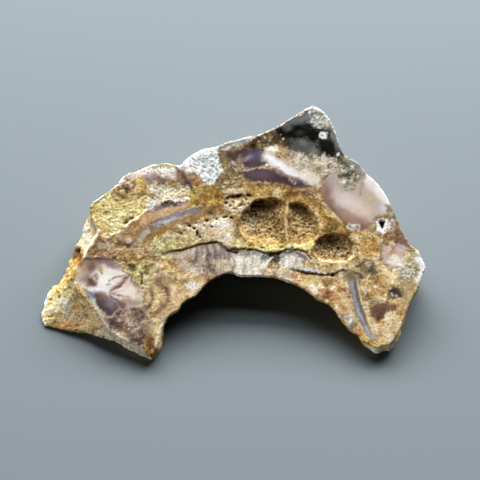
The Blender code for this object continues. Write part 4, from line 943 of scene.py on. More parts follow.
# The big agate eye at the lower left: its body, then its edge
EYE_OUTLINE = [
    (78, 264), (86, 258), (92, 259), (100, 258), (108, 257.5), (114, 261), (121, 268), (129, 276),
    (137, 284), (142, 292), (144, 299), (142, 306), (132, 307), (119, 311), (107, 317), (99, 310),
    (93, 301), (86, 291), (79, 286), (75, 280), (74, 273),
]
EYE_MARKS = [
    spot(108, 288, 50, 50, (246, 234, 226), 0, 2, gloss=0.9, flat=1),
    area([(76, 262), (86, 257), (100, 256), (113, 258), (122, 266), (112, 267), (103, 264), (98, 268),
        (92, 276), (96, 284), (92, 289), (78, 286), (72, 276)], (158, 132, 122), 4.5, 0.9),
    spot(77, 274, 6.5, 8, (222, 198, 188), 0, 3.6, strength=0.95),
    spot(84, 272, 4.5, 6, (196, 168, 158), 0, 3.6, strength=0.7),
    spot(92, 266.5, 5, 4, (122, 92, 76), 10, 3, 1.2, strength=0.85),
    line([(85, 260), (95, 259.3), (107, 258.8)], 2.6, (66, 48, 46), 2.2, 1, strength=0.9),
    spot(100.5, 270, 2.6, 3.4, (182, 158, 96), 15, 1.8, 1.2, strength=0.9),
    *dots([(98.6, 266.6, 0.9), (102.4, 273, 1), (99, 274.6, 0.9)], (126, 84, 40), strength=0.8),
    line([(103, 261.5), (110, 264), (117, 269)], 4.5, (138, 116, 116), 3, 0.9, strength=0.8),
    line([(107, 270.5), (114, 270), (121, 273)], 3.6, (248, 242, 238), 2.6, 0.8),
    spot(85, 281, 5.5, 3.4, (166, 142, 138), 15, 3.2, 0.7, strength=0.75),
    spot(92.5, 281.5, 4.6, 3.8, (92, 64, 54), 20, 2.4, 1.2, strength=0.9),
    spot(96.5, 277, 2.4, 2.4, (128, 90, 60), 0, 1.8, 1.2, strength=0.8),
    *dots([(92, 274.5, 1.2), (94.5, 278.4, 1), (90.2, 277.6, 0.9)], (226, 200, 182), strength=0.85),
    area([(97, 273), (104, 275), (110, 275), (115, 277), (112, 282), (107, 286), (107, 293), (98, 294),
        (90, 291), (97, 286), (99, 279)], (254, 252, 250), 2.6, 0.7),
    line([(78, 283.5), (84, 287.5), (91, 290.5), (97, 291.5)], 3.4, (240, 236, 238), 2, 0.7),
    line([(109, 280.5), (114, 278.6), (119, 276.8), (126, 276)], 1.5, (116, 84, 76), 1, 0.5,
        strength=0.85),
    line([(107, 285), (109.5, 284)], 1.2, (112, 84, 78), 0.9, 0.5, strength=0.85),
    area([(109, 290.8), (112.5, 287.2), (118, 283), (124, 278), (129, 276.4), (127.6, 281), (120.6, 286.6),
        (113.4, 290.8)], (104, 66, 56), 1.4, 0.5),
    line([(112, 288.6), (117.5, 284.8), (123.4, 280.6)], 1.5, (214, 178, 164), 1.3, 0.6, strength=0.8),
    area([(129, 276), (133, 275), (134.5, 279), (131, 281)], (66, 46, 34), 1.6, 1, strength=0.8),
    line([(109.6, 292.4), (119, 294.6), (128, 297)], 1.7, (104, 72, 66), 1, 0.5, strength=0.85),
    line([(111, 295.4), (117, 300), (123, 307)], 1.8, (98, 72, 68), 1.2, 0.5, strength=0.85),
    line([(112, 297), (115, 302), (118, 308)], 1.2, (112, 88, 84), 1.2, 0.5, strength=0.7),
    line([(113, 292), (122, 290.6), (131, 287.6)], 1, (206, 184, 172), 1.1, 0.6, strength=0.6),
    spot(130, 290, 7, 7, (246, 232, 220), 30, 4, 0.9, strength=0.85),
    spot(128, 283.5, 5, 3, (222, 200, 188), -30, 2.6, 0.9, strength=0.7),
    line([(134, 283), (138, 289), (140, 296), (138, 303)], 5, (170, 146, 136), 3.4, 1.2, strength=0.8),
    line([(128, 301), (134, 303), (139, 303)], 3.4, (190, 160, 144), 3, 1.2, strength=0.7),
    spot(139, 297, 2.4, 3.6, (236, 222, 192), 0, 2, 1.4, strength=0.8),
    area([(119, 298), (128, 298), (138, 300), (142, 306), (132, 310), (120, 312)], (176, 146, 132), 3.4,
        1, strength=0.8),
    area([(93, 293), (102, 292.6), (109, 296), (116, 299), (123, 304), (127, 312), (112, 324), (98, 318),
        (90, 302)], (104, 84, 82), 3.4, 0.7, gloss=0.9),
    line([(96, 296), (98, 303), (101, 310)], 4, (74, 54, 50), 3, 0.9, strength=0.8),
    spot(99, 296.5, 4.5, 3, (110, 84, 76), 20, 2.6, 1, strength=0.75),
    spot(104.5, 297, 4.5, 3, (140, 116, 108), 20, 3, 0.6, strength=0.75),
    spot(110.5, 303, 5, 4.4, (134, 130, 146), 35, 4, 0.6, gloss=0.9, strength=0.8),
    spot(108, 311, 5, 3, (72, 66, 82), 30, 3, 0.9, gloss=0.9, strength=0.85),
    spot(118.4, 304.5, 4.6, 3.8, (124, 94, 88), 40, 3.4, 0.7, strength=0.75),
    line([(110, 298.6), (116, 303), (121.4, 309)], 1.1, (206, 186, 180), 1.2, 0.6, strength=0.6),
]
EYE_RIM_MARKS = [
    line([(84, 260.5), (88, 258.6), (92, 259.3), (100, 258.5), (106, 258), (112, 259.5)], 1.6, (52, 38, 32),
        1.4, 0.8, strength=0.85),
    line([(112, 259.5), (118, 265), (126, 273), (134, 281.5), (139, 288)], 1.2, (122, 94, 64), 1.3, 1.2,
        strength=0.7),
    area([(82.6, 288.6), (89, 290), (94, 296), (97, 304.4), (92.4, 305.4), (86.6, 299)], (162, 168, 178),
        1.4, 0.4, gloss=0.8),
    line([(90, 292), (94, 298), (96.4, 304)], 1.4, (84, 82, 92), 1, 0.4, gloss=0.8, strength=0.85),
    line([(85, 290), (88.6, 296.6), (93, 303.8)], 1.2, (76, 82, 104), 0.9, 0.3, gloss=0.8),
    line([(84, 288.6), (91.4, 291.6), (95.4, 298)], 1, (112, 118, 136), 0.9, 0.4, gloss=0.8,
        strength=0.8),
    line([(92, 300), (95.6, 306), (99, 312.6), (103, 321), (107, 329)], 2.6, (214, 210, 202), 1.6, 0.9,
        last=3.4, gloss=0.4),
    line([(96.4, 311), (99.4, 318), (103.6, 326)], 1.2, (122, 108, 96), 1, 0.8, strength=0.75),
    area([(102, 318), (108, 321), (109, 331), (104, 329)], (186, 180, 170), 2, 1.4, strength=0.7),
]

# The left leg, round the eye and below it
LEFT_LEG_MARKS = [
    area([(90, 240), (102, 240), (112, 244), (110, 252), (96, 254), (88, 249)],
        [(48, 30, 16), (108, 74, 46), (156, 118, 78), (206, 178, 138)], 3, 1.8, strength=0.9),
    flecks([(90, 240), (118, 240), (136, 250), (132, 257), (96, 257)], 1.4, 0.3, (228, 212, 178), 2, 0.9,
        seed=383, strength=0.85),
    line([(100, 247.6), (112, 249), (124, 249.6), (138, 249), (152, 249.4)], 2.2, (222, 204, 164), 2, 0.9,
        strength=0.7),
    line([(96, 243.4), (104, 245), (114, 245.6)], 1.4, (222, 212, 194), 1.4, 0.8, strength=0.7),
    line([(108, 241.6), (118, 243.2), (128, 246)], 1.3, (74, 52, 32), 1.2, 0.8, strength=0.7),
    line([(92, 253.5), (104, 256), (116, 255.4)], 1.6, (104, 70, 40), 1.5, 1.4, strength=0.7),
    line([(116, 259.5), (124, 257.5), (131, 258.5)], 1.4, (104, 74, 42), 1.4, 1.2, strength=0.75),
    area([(120, 256), (134, 253), (150, 255), (166, 257), (182, 262), (196, 270), (188, 277), (172, 270),
        (156, 263), (138, 262), (124, 264)], [(88, 60, 26), (146, 110, 60), (190, 154, 96),
        (226, 200, 146)], 2.6, 1.6, streak=0.3),
    line([(131, 259), (145, 259.2), (152, 260), (160, 259.5), (170, 261), (178, 264)], 1.4, (110, 78, 36),
        1.2, 1, strength=0.8),
    line([(136, 262.5), (150, 262.6), (164, 264), (178, 269)], 1.2, (216, 190, 140), 1.1, 1,
        strength=0.7),
    line([(115, 262), (121, 267), (127, 273)], 3.4, (190, 142, 92), 2.2, 1.2, strength=0.7),
    area([(122, 263), (134, 261), (148, 262), (154, 272), (151, 284), (143, 287), (134, 278), (126, 271)],
        GREEN_POROUS, 2.4, 1.6, shift=0.04),
    area([(128, 265), (134, 263.6), (137, 267), (135, 271), (129, 270.4)], (74, 60, 28), 1.6, 1.2,
        strength=0.85, sink=0.3),
    line([(141, 274), (143, 279), (142, 285)], 2, (66, 52, 24), 1.3, 1.2, strength=0.85, sink=0.4),
    line([(146.6, 268), (147.4, 275)], 1.4, (92, 76, 40), 1.1, 1, strength=0.75, sink=0.2),
    spot(139, 268, 3, 2.2, (226, 220, 168), 0, 1.8, 1.2, strength=0.85, sink=-0.15),
    spot(146.5, 280, 3, 3.6, (232, 224, 184), 0, 1.8, 1.2, strength=0.85, sink=-0.15),
    spot(136.5, 275.5, 2.6, 2.4, (222, 214, 164), 0, 1.6, 1.2, strength=0.8, sink=-0.15),
    spot(158, 265, 2.4, 1.6, (226, 218, 208), 0, 1.6, 1, strength=0.8),
    spot(164, 280, 9, 6, (176, 146, 118), 25, 4, 1.8, strength=0.5),
    area([(150, 292), (158, 289), (163, 297), (158, 305), (151, 304)], (226, 200, 148), 3, 1.6,
        strength=0.7),
    area([(170, 286), (182, 284), (190, 294), (178, 310), (169, 304)], (236, 208, 160), 4, 1.2,
        strength=0.65),
    area([(156, 306), (168, 302), (180, 300), (172, 312), (162, 320), (154, 316)], (202, 172, 126), 3.4,
        1.8, strength=0.5),
    line([(151.5, 290), (152.4, 297), (150.4, 303), (146, 309), (140, 314), (135, 318)], 4.2, (128, 94, 76),
        2.8, 0.7, strength=0.85),
    line([(153, 292), (153.4, 298), (151, 304.4), (146.6, 310)], 1.6, (92, 62, 50), 1.8, 0.6,
        strength=0.75),
    *spots([(144, 300, 2.4, 4, -30), (141, 307, 3.6, 2, 35), (134, 313, 3, 1.6, 20),
        (158, 284, 4.4, 2.6, 20), (166, 279, 4, 2.4, 0), (160, 313, 4, 1.8, -30),
        (171, 282, 2.4, 3.4, 0), (150, 321, 2.4, 3, 20)], (136, 102, 80), 2.8, 1, strength=0.65),
    line([(147.6, 293), (148.4, 299), (145.4, 305), (141, 309)], 1.8, (222, 200, 164), 1.6, 0.6,
        strength=0.7),
    line([(155.4, 288), (158.6, 294), (157.4, 302), (152.6, 308), (147, 313)], 2.6, (228, 204, 152), 2,
        0.7, strength=0.75),
    line([(157.5, 281), (162.4, 284.5), (166.6, 290), (168.4, 297), (167, 304), (161.8, 310), (154, 314.6)],
        5.6, (134, 96, 76), 3, 0.7, strength=0.85),
    line([(165, 287.6), (168, 294), (167.4, 301)], 2.4, (84, 52, 40), 1.8, 0.6, strength=0.85),
    line([(172, 285), (175, 292), (174, 300), (168, 308), (160, 314)], 1.8, (222, 196, 148), 2, 0.7,
        strength=0.7),
    line([(176, 284), (180, 291), (178, 299)], 1.6, (168, 130, 88), 1.8, 0.7, strength=0.6),
    line([(160, 316), (155, 322), (151, 330)], 2.6, (226, 204, 156), 2.2, 0.8, strength=0.7),
    line([(176, 272), (174, 280), (177, 286)], 2.2, (158, 130, 78), 2, 1.6, strength=0.6),
    area([(184.6, 284), (194, 281.4), (199.4, 283), (197.6, 288.6), (190, 289.6), (185.6, 288)],
        (246, 240, 234), 2, 1.3, gloss=0.3),
    spot(191, 276, 7, 3, (220, 192, 144), -20, 3, 1.6, strength=0.6),
    spot(201, 279, 5, 5, (204, 178, 140), 0, 3, 1.6, strength=0.6),
    line([(178, 309), (170, 316), (164.5, 323)], 1.5, (232, 216, 184), 1.3, 1, strength=0.75),
    area([(106, 318), (114, 311), (124, 306), (138, 304), (146, 308), (147, 318), (148, 330), (146, 343),
        (138, 349), (124, 341), (112, 332), (105, 326)], MAUVE_ROCK, 3.2, 1.2, gloss=0.1, shift=-0.04),
    *spots([(112, 320, 4.5, 5, 30), (119, 327, 6, 3.5, 20), (134, 337, 7, 3.6, 35), (140, 343, 4.5, 3, 20),
        (145, 331, 2.4, 4, 0), (134, 310, 5, 1.8, -20)], (74, 52, 46), 2.8, 1.8, strength=0.7),
    *spots([(130, 322, 5, 3.4, 35), (144, 322, 4, 2.4, -40), (119, 319.5, 2.6, 1.4, 0),
        (126, 314, 4, 1.6, -15), (137, 328.6, 3, 1.6, -20), (123, 334, 3.6, 1.4, 25),
        (150, 327, 2.6, 2.6, 0)], (222, 200, 176), 2, 1.8, strength=0.8),
    flecks([(108, 314), (140, 306), (148, 324), (142, 346), (112, 332)], 1.5, 0.3, (226, 204, 180), 2,
        0.8, seed=389, strength=0.75),
    flecks([(108, 314), (140, 306), (148, 324), (142, 346), (112, 332)], 1.3, 0.3, (66, 46, 42), 2, 0.8,
        seed=397, strength=0.7),
    area([(143, 339), (149, 335), (157, 339), (156, 352), (151, 361), (144, 353)],
        [(46, 30, 10), (112, 80, 30), (168, 128, 60), (220, 186, 114)], 2, 1.2, shift=0.04, streak=0.2),
    line([(146, 343), (149, 350), (151.6, 357)], 1.8, (66, 44, 22), 1.2, 1, strength=0.8),
    line([(151.6, 341), (153, 347), (153, 354)], 1.2, (92, 64, 30), 1, 0.9, strength=0.7),
    area([(157, 325), (163, 322), (164, 344), (158, 350), (155.4, 340)], [(104, 84, 42), (170, 150, 96),
        (216, 202, 152), (246, 240, 212)], 2, 1.2, shift=0.04, strength=0.9),
    area([(145, 322), (153, 324), (154, 336), (147, 340), (142, 332)],
        [(104, 74, 50), (146, 116, 86), (190, 164, 128), (226, 206, 168)], 3, 1.2, strength=0.7),
    line([(163.4, 322), (159.8, 330), (156.8, 338), (155.6, 346)], 1.2, (252, 246, 230), 0.9, 0.7,
        strength=0.9),
    spot(149.5, 330, 5, 6, (124, 92, 62), -10, 2.6, 1.4, strength=0.4),
    spot(175, 300, 9, 7, (238, 206, 156), -20, 3.4, 1.4, strength=0.3),
]

# The right side, from below the pink chalcedony down to the right leg's tip
RIGHT_MARKS = [
    area([(360, 232), (372, 232), (380, 238), (378, 252), (366, 256), (356, 250), (358, 240)],
        [(90, 60, 22), (164, 126, 62), (206, 170, 106), (234, 210, 160)], 3, 1.8, shift=0.06,
        strength=0.85),
    spot(371, 249, 5, 6, (186, 132, 58), 0, 3.2, 1.6, strength=0.6),
    line([(380.5, 229), (381.5, 240), (381, 251)], 1.2, (232, 214, 182), 1.1, 0.8, strength=0.75),
    line([(380, 246), (381, 254), (380, 262)], 1.2, (92, 66, 38), 1.1, 0.9, strength=0.7),
    area([(356, 262), (364, 259), (374, 262), (378, 270), (370, 277), (358, 273)], [(62, 52, 38),
        (96, 80, 58), (136, 116, 86), (192, 174, 140), (232, 222, 198)], 3, 1, shift=-0.04),
    flecks([(354, 260), (374, 260), (380, 272), (370, 278), (356, 274)], 1.2, 0.4, (224, 214, 192), 2,
        1.2, seed=397, strength=0.85),
    flecks([(354, 260), (374, 260), (380, 272), (370, 278), (356, 274)], 0.9, 0.4, (50, 38, 26), 2, 1,
        seed=401, strength=0.6),
    area([(385, 232), (393, 229), (402, 231), (410, 242), (404, 247), (390, 246)],
        [(62, 38, 26), (112, 78, 54), (154, 118, 86), (204, 176, 142)], 2.4, 1.6),
    area([(394, 227), (401, 230), (411, 243), (412, 249), (404, 243), (397, 234)], (120, 92, 82), 2.2, 1.2,
        strength=0.8, gloss=0.5),
    line([(403, 232), (409, 240), (414, 249)], 1.6, (206, 186, 172), 1.2, 1, strength=0.75),
    area([(380, 264), (398, 268), (406, 280), (398, 288), (384, 284)], TAN_ROCK, 2.4, 1.4, shift=0.14),
    area([(382, 247), (388, 244), (398, 243), (407, 247), (410, 256), (404, 265), (394, 268), (386, 264),
        (382, 256)], [(166, 132, 116), (198, 170, 154), (222, 200, 188), (236, 220, 212)], 1.8, 1,
        gloss=0.6),
    spot(386, 257, 3, 5, (206, 178, 172), 0, 2.4, 1, gloss=0.6, strength=0.8),
    spot(400.6, 247, 3.8, 2.8, (194, 180, 192), 20, 2, 0.8, gloss=0.6, strength=0.9),
    line([(391.4, 245), (393.4, 249), (392, 254)], 3.6, (180, 128, 84), 2.4, 0.6, last=2.4, strength=0.85),
    line([(393, 253), (398, 255.4), (403, 253)], 1.8, (198, 154, 122), 2, 0.6, strength=0.75),
    line([(383.6, 262), (389, 266), (396, 267.4)], 1.4, (156, 128, 100), 1.6, 0.8, strength=0.7),
    spot(390, 262, 3.6, 2, (246, 238, 228), 20, 2, 0.8, strength=0.8),
    spot(392.5, 243.4, 2.2, 1.4, (240, 224, 196), 0, 1.2, 0.8),
    spot(397, 260.6, 6, 4, (248, 236, 222), 10, 2.6, 1, gloss=0.5),
    line([(382, 247), (381.4, 254), (383, 261)], 1.4, (120, 88, 62), 1.2, 0.7, strength=0.8),
    line([(386.6, 234), (387, 240), (386, 245)], 2.4, (96, 66, 44), 1.4, 0.8, strength=0.8),
    area([(404, 254), (414, 250), (421, 257), (424, 268), (416, 272), (407, 268)],
        [(112, 98, 66), (182, 168, 128), (220, 208, 174), (246, 240, 220)], 1.8, 1.1, shift=-0.02),
    area([(399, 266), (410, 265), (417, 272), (415, 281), (402, 281)],
        [(40, 34, 26), (110, 100, 80), (186, 178, 156), (244, 240, 228)], 1.8, 1.2),
    threads([(399, 264), (410, 264), (418, 272), (415, 281), (402, 280)], 1.4, 0.17, (246, 244, 234), 2,
        1, seed=479, strength=0.8, sink=-0.1),
    # Painted highlight: white along the right rim, which catches the light from behind
    area([(416, 256), (422, 257), (427.5, 262), (428, 270), (422, 282), (417, 284), (419, 270)],
        (248, 250, 252), 1.4, 0.8, gloss=0.4),
    line([(415.4, 249.6), (419, 253), (423.4, 258)], 1.4, (240, 236, 228), 1, 0.8, strength=0.85),
    area([(298, 273), (318, 276), (338, 279), (347, 290), (351, 312), (344, 322), (330, 304), (310, 293),
        (297, 286)], [(84, 52, 22), (164, 118, 64), (210, 170, 112), (238, 212, 164), (252, 242, 212)], 2,
        1.4, strength=0.95),
    area([(303, 276), (318, 276), (322, 283), (312, 287), (303, 284)],
        [(120, 102, 52), (190, 172, 108), (224, 210, 152), (246, 238, 196)], 1.8, 1.2, shift=0.04),
    area([(308, 285), (316, 283), (323, 287), (321, 294), (313, 296)],
        [(142, 118, 86), (214, 198, 166), (244, 236, 216), (253, 250, 240)], 1.6, 1, shift=0.04),
    area([(320, 290), (328, 289), (333, 294), (330, 301), (323, 300)],
        [(70, 36, 20), (128, 76, 44), (176, 122, 78), (216, 176, 128)], 1.6, 1),
    *mixed_spots([(337, 286, 5, 2.6, 30, (236, 214, 164)), (342, 296, 2.8, 4.5, -20, (232, 208, 170)),
        (336, 301, 4, 2.4, 50, (196, 144, 84)), (343, 307, 2.6, 3.4, 0, (186, 132, 74)),
        (331, 283, 3.4, 1.6, 10, (150, 108, 62)), (347, 303, 1.8, 4, -10, (238, 220, 184))], 1.8, 1,
        strength=0.8),
    area([(343, 313), (350, 313), (356, 325), (352, 331), (346, 323)],
        [(44, 36, 28), (112, 100, 84), (196, 188, 172), (250, 248, 242)], 1.4, 1),
    area([(354, 328), (361, 330), (361, 336), (355, 335)], (184, 118, 52), 1.6, 1, strength=0.9),
    area([(358, 333), (372, 336), (384, 340), (390, 346), (376, 348), (362, 345)], [(96, 62, 16),
        (170, 122, 46), (212, 168, 84), (244, 220, 154), (252, 240, 200)], 1.8, 1.1, shift=0.04),
    # The tip, painted paler than its rock as painted light where it turns from the lamps
    area([(358, 342), (368, 344), (380, 346), (392, 346), (402, 336), (404, 350), (388, 360), (368, 360),
        (356, 350)], [(170, 130, 66), (234, 196, 122), (252, 228, 170), (255, 246, 214)], 2, 1,
        shift=0.02),
    area([(366, 348), (376, 347), (382, 350), (378, 357), (370, 357)],
        [(196, 176, 136), (250, 236, 206), (255, 250, 234)], 2, 1, shift=0.06),
    area([(386, 340), (392, 336), (399, 338), (397, 348), (389, 352)],
        [(176, 158, 122), (240, 230, 204), (252, 248, 236)], 1.8, 1, shift=0.06),
    area([(401, 280), (410, 279), (417, 284), (413, 300), (406, 310), (401, 298)],
        [(116, 94, 58), (164, 140, 96), (192, 170, 124), (216, 198, 156)], 2.4, 1.2, gloss=0.4),
    area([(366, 282), (380, 279), (388, 284), (386, 294), (374, 300), (367, 296)],
        [(112, 74, 28), (180, 136, 74), (216, 180, 120), (242, 222, 178)], 2.4, 1.4, shift=0.04),
    spot(372, 301, 5, 3.4, (158, 138, 116), 20, 2.4, 1.2, strength=0.8),
    *spots([(378, 297, 2.8, 1.6, 20), (384, 299.6, 2.6, 1.4, -20), (370.6, 290, 1.4, 3.2, 0),
        (376, 287, 2, 1.4, 30), (366, 305, 1.4, 3.4, 0), (405, 306, 1.6, 2.8, 10)], (240, 226, 198), 1.4,
        1, strength=0.85),
    flecks([(361, 284), (368, 286), (371, 312), (364, 314)], 1.2, 0.35, (78, 66, 36), 1.6, 0.8, seed=433,
        strength=0.75),
    *mixed_spots([(388, 273, 7, 3, 20, (242, 224, 176)), (380, 277, 5, 2.4, 0, (140, 106, 60)),
        (376, 283, 3, 1.8, 20, (96, 66, 34)), (392, 279, 4, 2, -20, (246, 230, 190)),
        (371, 297, 2, 3, 0, (104, 86, 54)), (389, 323, 4.6, 1.6, 20, (112, 68, 32)),
        (396, 321.6, 3.4, 2, 0, (248, 232, 194)), (392, 329, 3, 3.6, 10, (218, 158, 84)),
        (398, 331, 1.8, 5, 10, (206, 144, 72)), (381, 329, 3, 1.6, -20, (206, 148, 78)),
        (366, 331, 2.4, 3.4, -25, (150, 104, 46)), (388, 341, 4, 1.6, 10, (84, 56, 18)),
        (380, 338.4, 4, 1.5, 15, (120, 84, 30)), (352, 310, 2, 4, -20, (242, 222, 176)),
        (326, 285, 4.4, 1.8, 20, (98, 66, 34)), (333, 289, 3, 1.4, 35, (246, 232, 196)),
        (384, 281, 5, 3, 30, (206, 168, 96)), (374, 293, 4, 4, 0, (196, 152, 82)),
        (403, 303, 4, 7, 15, (196, 164, 112)), (399, 312, 5, 3, -30, (158, 116, 66)),
        (340, 290, 4, 6, -30, (168, 124, 66)), (345, 300, 3, 5, -10, (232, 204, 150)),
        (334, 294, 3.4, 4, 0, (206, 158, 92)), (368, 318, 3.4, 5, -15, (216, 184, 122)),
        (372, 328, 4, 5, -20, (176, 128, 66))], 2.4, 0.9, strength=0.85),
    area([(373, 318), (384, 315), (396, 312), (404, 316), (403, 330), (396, 343), (380, 342), (370, 332)],
        [(110, 68, 30), (182, 132, 76), (222, 182, 124), (242, 216, 166), (253, 244, 214)], 2.2, 1.4,
        shift=0.05),
    *[line([(383, 319), (x, y)], 1.6, (250, 238, 204), 1.2, 0.7, last=2.6, strength=0.8)
        for x, y in ((388, 311), (394, 312), (399, 316), (400, 322), (395, 327))],
    *mixed_spots([(376, 321, 2.6, 1.8, 0, (130, 80, 44)), (395, 332, 2.4, 2.8, 20, (186, 124, 60)),
        (380, 334, 3.4, 1.8, 30, (150, 100, 52)), (387, 335, 3.6, 2.2, -20, (244, 226, 184)),
        (374, 330, 1.8, 3, 20, (238, 218, 178)), (391, 327, 2.6, 1.6, 0, (200, 150, 88)),
        (399, 325, 1.6, 3.2, 0, (236, 216, 172)), (383, 327, 2.6, 1.4, 0, (246, 230, 194))], 1.6, 1,
        strength=0.8),
]

# The grey vein in the right leg, with the lines that follow it
VEIN = [
    (351, 276), (352.5, 283), (354, 291), (356.5, 300), (359, 309), (361.5, 317), (364.5, 325), (369, 333),
    (373, 339),
]
VEIN_MARKS = [
    line(VEIN, 12, (220, 198, 152), 2, 1, last=7, strength=0.8),
    area([(344, 272), (353, 271), (362, 275), (361, 283), (354, 286), (347, 281)], (136, 124, 106), 2.2,
        1, gloss=0.6, strength=0.9),
    line(VEIN, 9.4, (126, 112, 84), 1.8, 0.6, last=4.2, gloss=0.85),
    line([(x - 0.9, y) for x, y in VEIN[1:]], 5.6, (140, 136, 140), 2, 0.5, last=2.6, gloss=0.85,
        strength=0.95),
    line([(x - 1.4, y) for x, y in VEIN[1:6]], 2.4, (172, 174, 190), 1.8, 0.4, last=1.6, gloss=0.85,
        strength=0.8),
    line([(x - 0.6, y) for x, y in VEIN[4:9]], 2.6, (186, 190, 214), 1.6, 0.4, last=1.6, gloss=0.85,
        strength=0.8),
    line([(x + 1.2, y) for x, y in VEIN[1:7]], 1, (88, 80, 76), 1.2, 0.5, strength=0.75),
    line([(x + 3, y - 1) for x, y in VEIN[1:7]], 1.2, (88, 74, 50), 1.2, 0.6, strength=0.8),
    line([(x + 5, y - 2) for x, y in VEIN[1:8]], 1.6, (240, 224, 184), 1.3, 0.7, strength=0.8),
    line([(x + 6.8, y - 2) for x, y in VEIN[1:5]], 1.4, (124, 94, 58), 1.4, 0.8, strength=0.65),
    line([(x - 3.8, y + 1) for x, y in VEIN[1:6]], 1, (104, 80, 54), 1.1, 0.6, strength=0.75),
    line([(x - 5.4, y + 2) for x, y in VEIN[1:6]], 1.8, (238, 216, 168), 1.5, 0.7, strength=0.75),
    line([(357.6, 315), (360.4, 321), (364, 328)], 1, (96, 82, 78), 1, 0.6, strength=0.75),
    line([(365.5, 326), (369, 332), (374, 338)], 1.2, (212, 204, 198), 1, 0.6, strength=0.8),
    line([(347.4, 290), (350, 300), (353.4, 310), (356.4, 318)], 1.4, (162, 110, 58), 1.5, 1,
        strength=0.7),
]

# The dark brown spots right of the vein
DARK_SPOT_MARKS = [
    area([(370, 307), (374, 303), (382, 302), (391, 302.6), (396, 307), (395, 312), (388, 314),
        (383, 318.6), (376, 320), (371, 314)], [(70, 44, 34), (98, 68, 52), (122, 90, 70), (160, 128, 100)],
        2.6, 1, gloss=0.4),
    spot(380, 311, 7, 4.4, (104, 74, 62), 15, 3, 1, gloss=0.5, strength=0.85),
    spot(391, 306.4, 3.4, 2, (128, 96, 74), 0, 2, 1, strength=0.7),
    area([(386, 289), (391, 286.6), (398, 287), (402, 291), (401, 296), (394, 298.4), (388, 297)],
        [(30, 22, 18), (58, 46, 36), (92, 76, 58), (140, 122, 96)], 2.4, 1, shift=-0.04),
    spot(395, 291.6, 5.2, 3.4, (48, 36, 30), 12, 2.4, 0.8, strength=0.75),
    spot(389.6, 295.4, 2.6, 2, (112, 92, 70), 0, 1.8, 1, strength=0.8),
    line([(390.6, 293.6), (394, 295), (397.4, 295.4)], 1.4, (222, 212, 202), 1, 0.7, strength=0.8),
    spot(389, 287.4, 2.6, 1.2, (216, 200, 170), 0, 1.5, 1, strength=0.6),
]

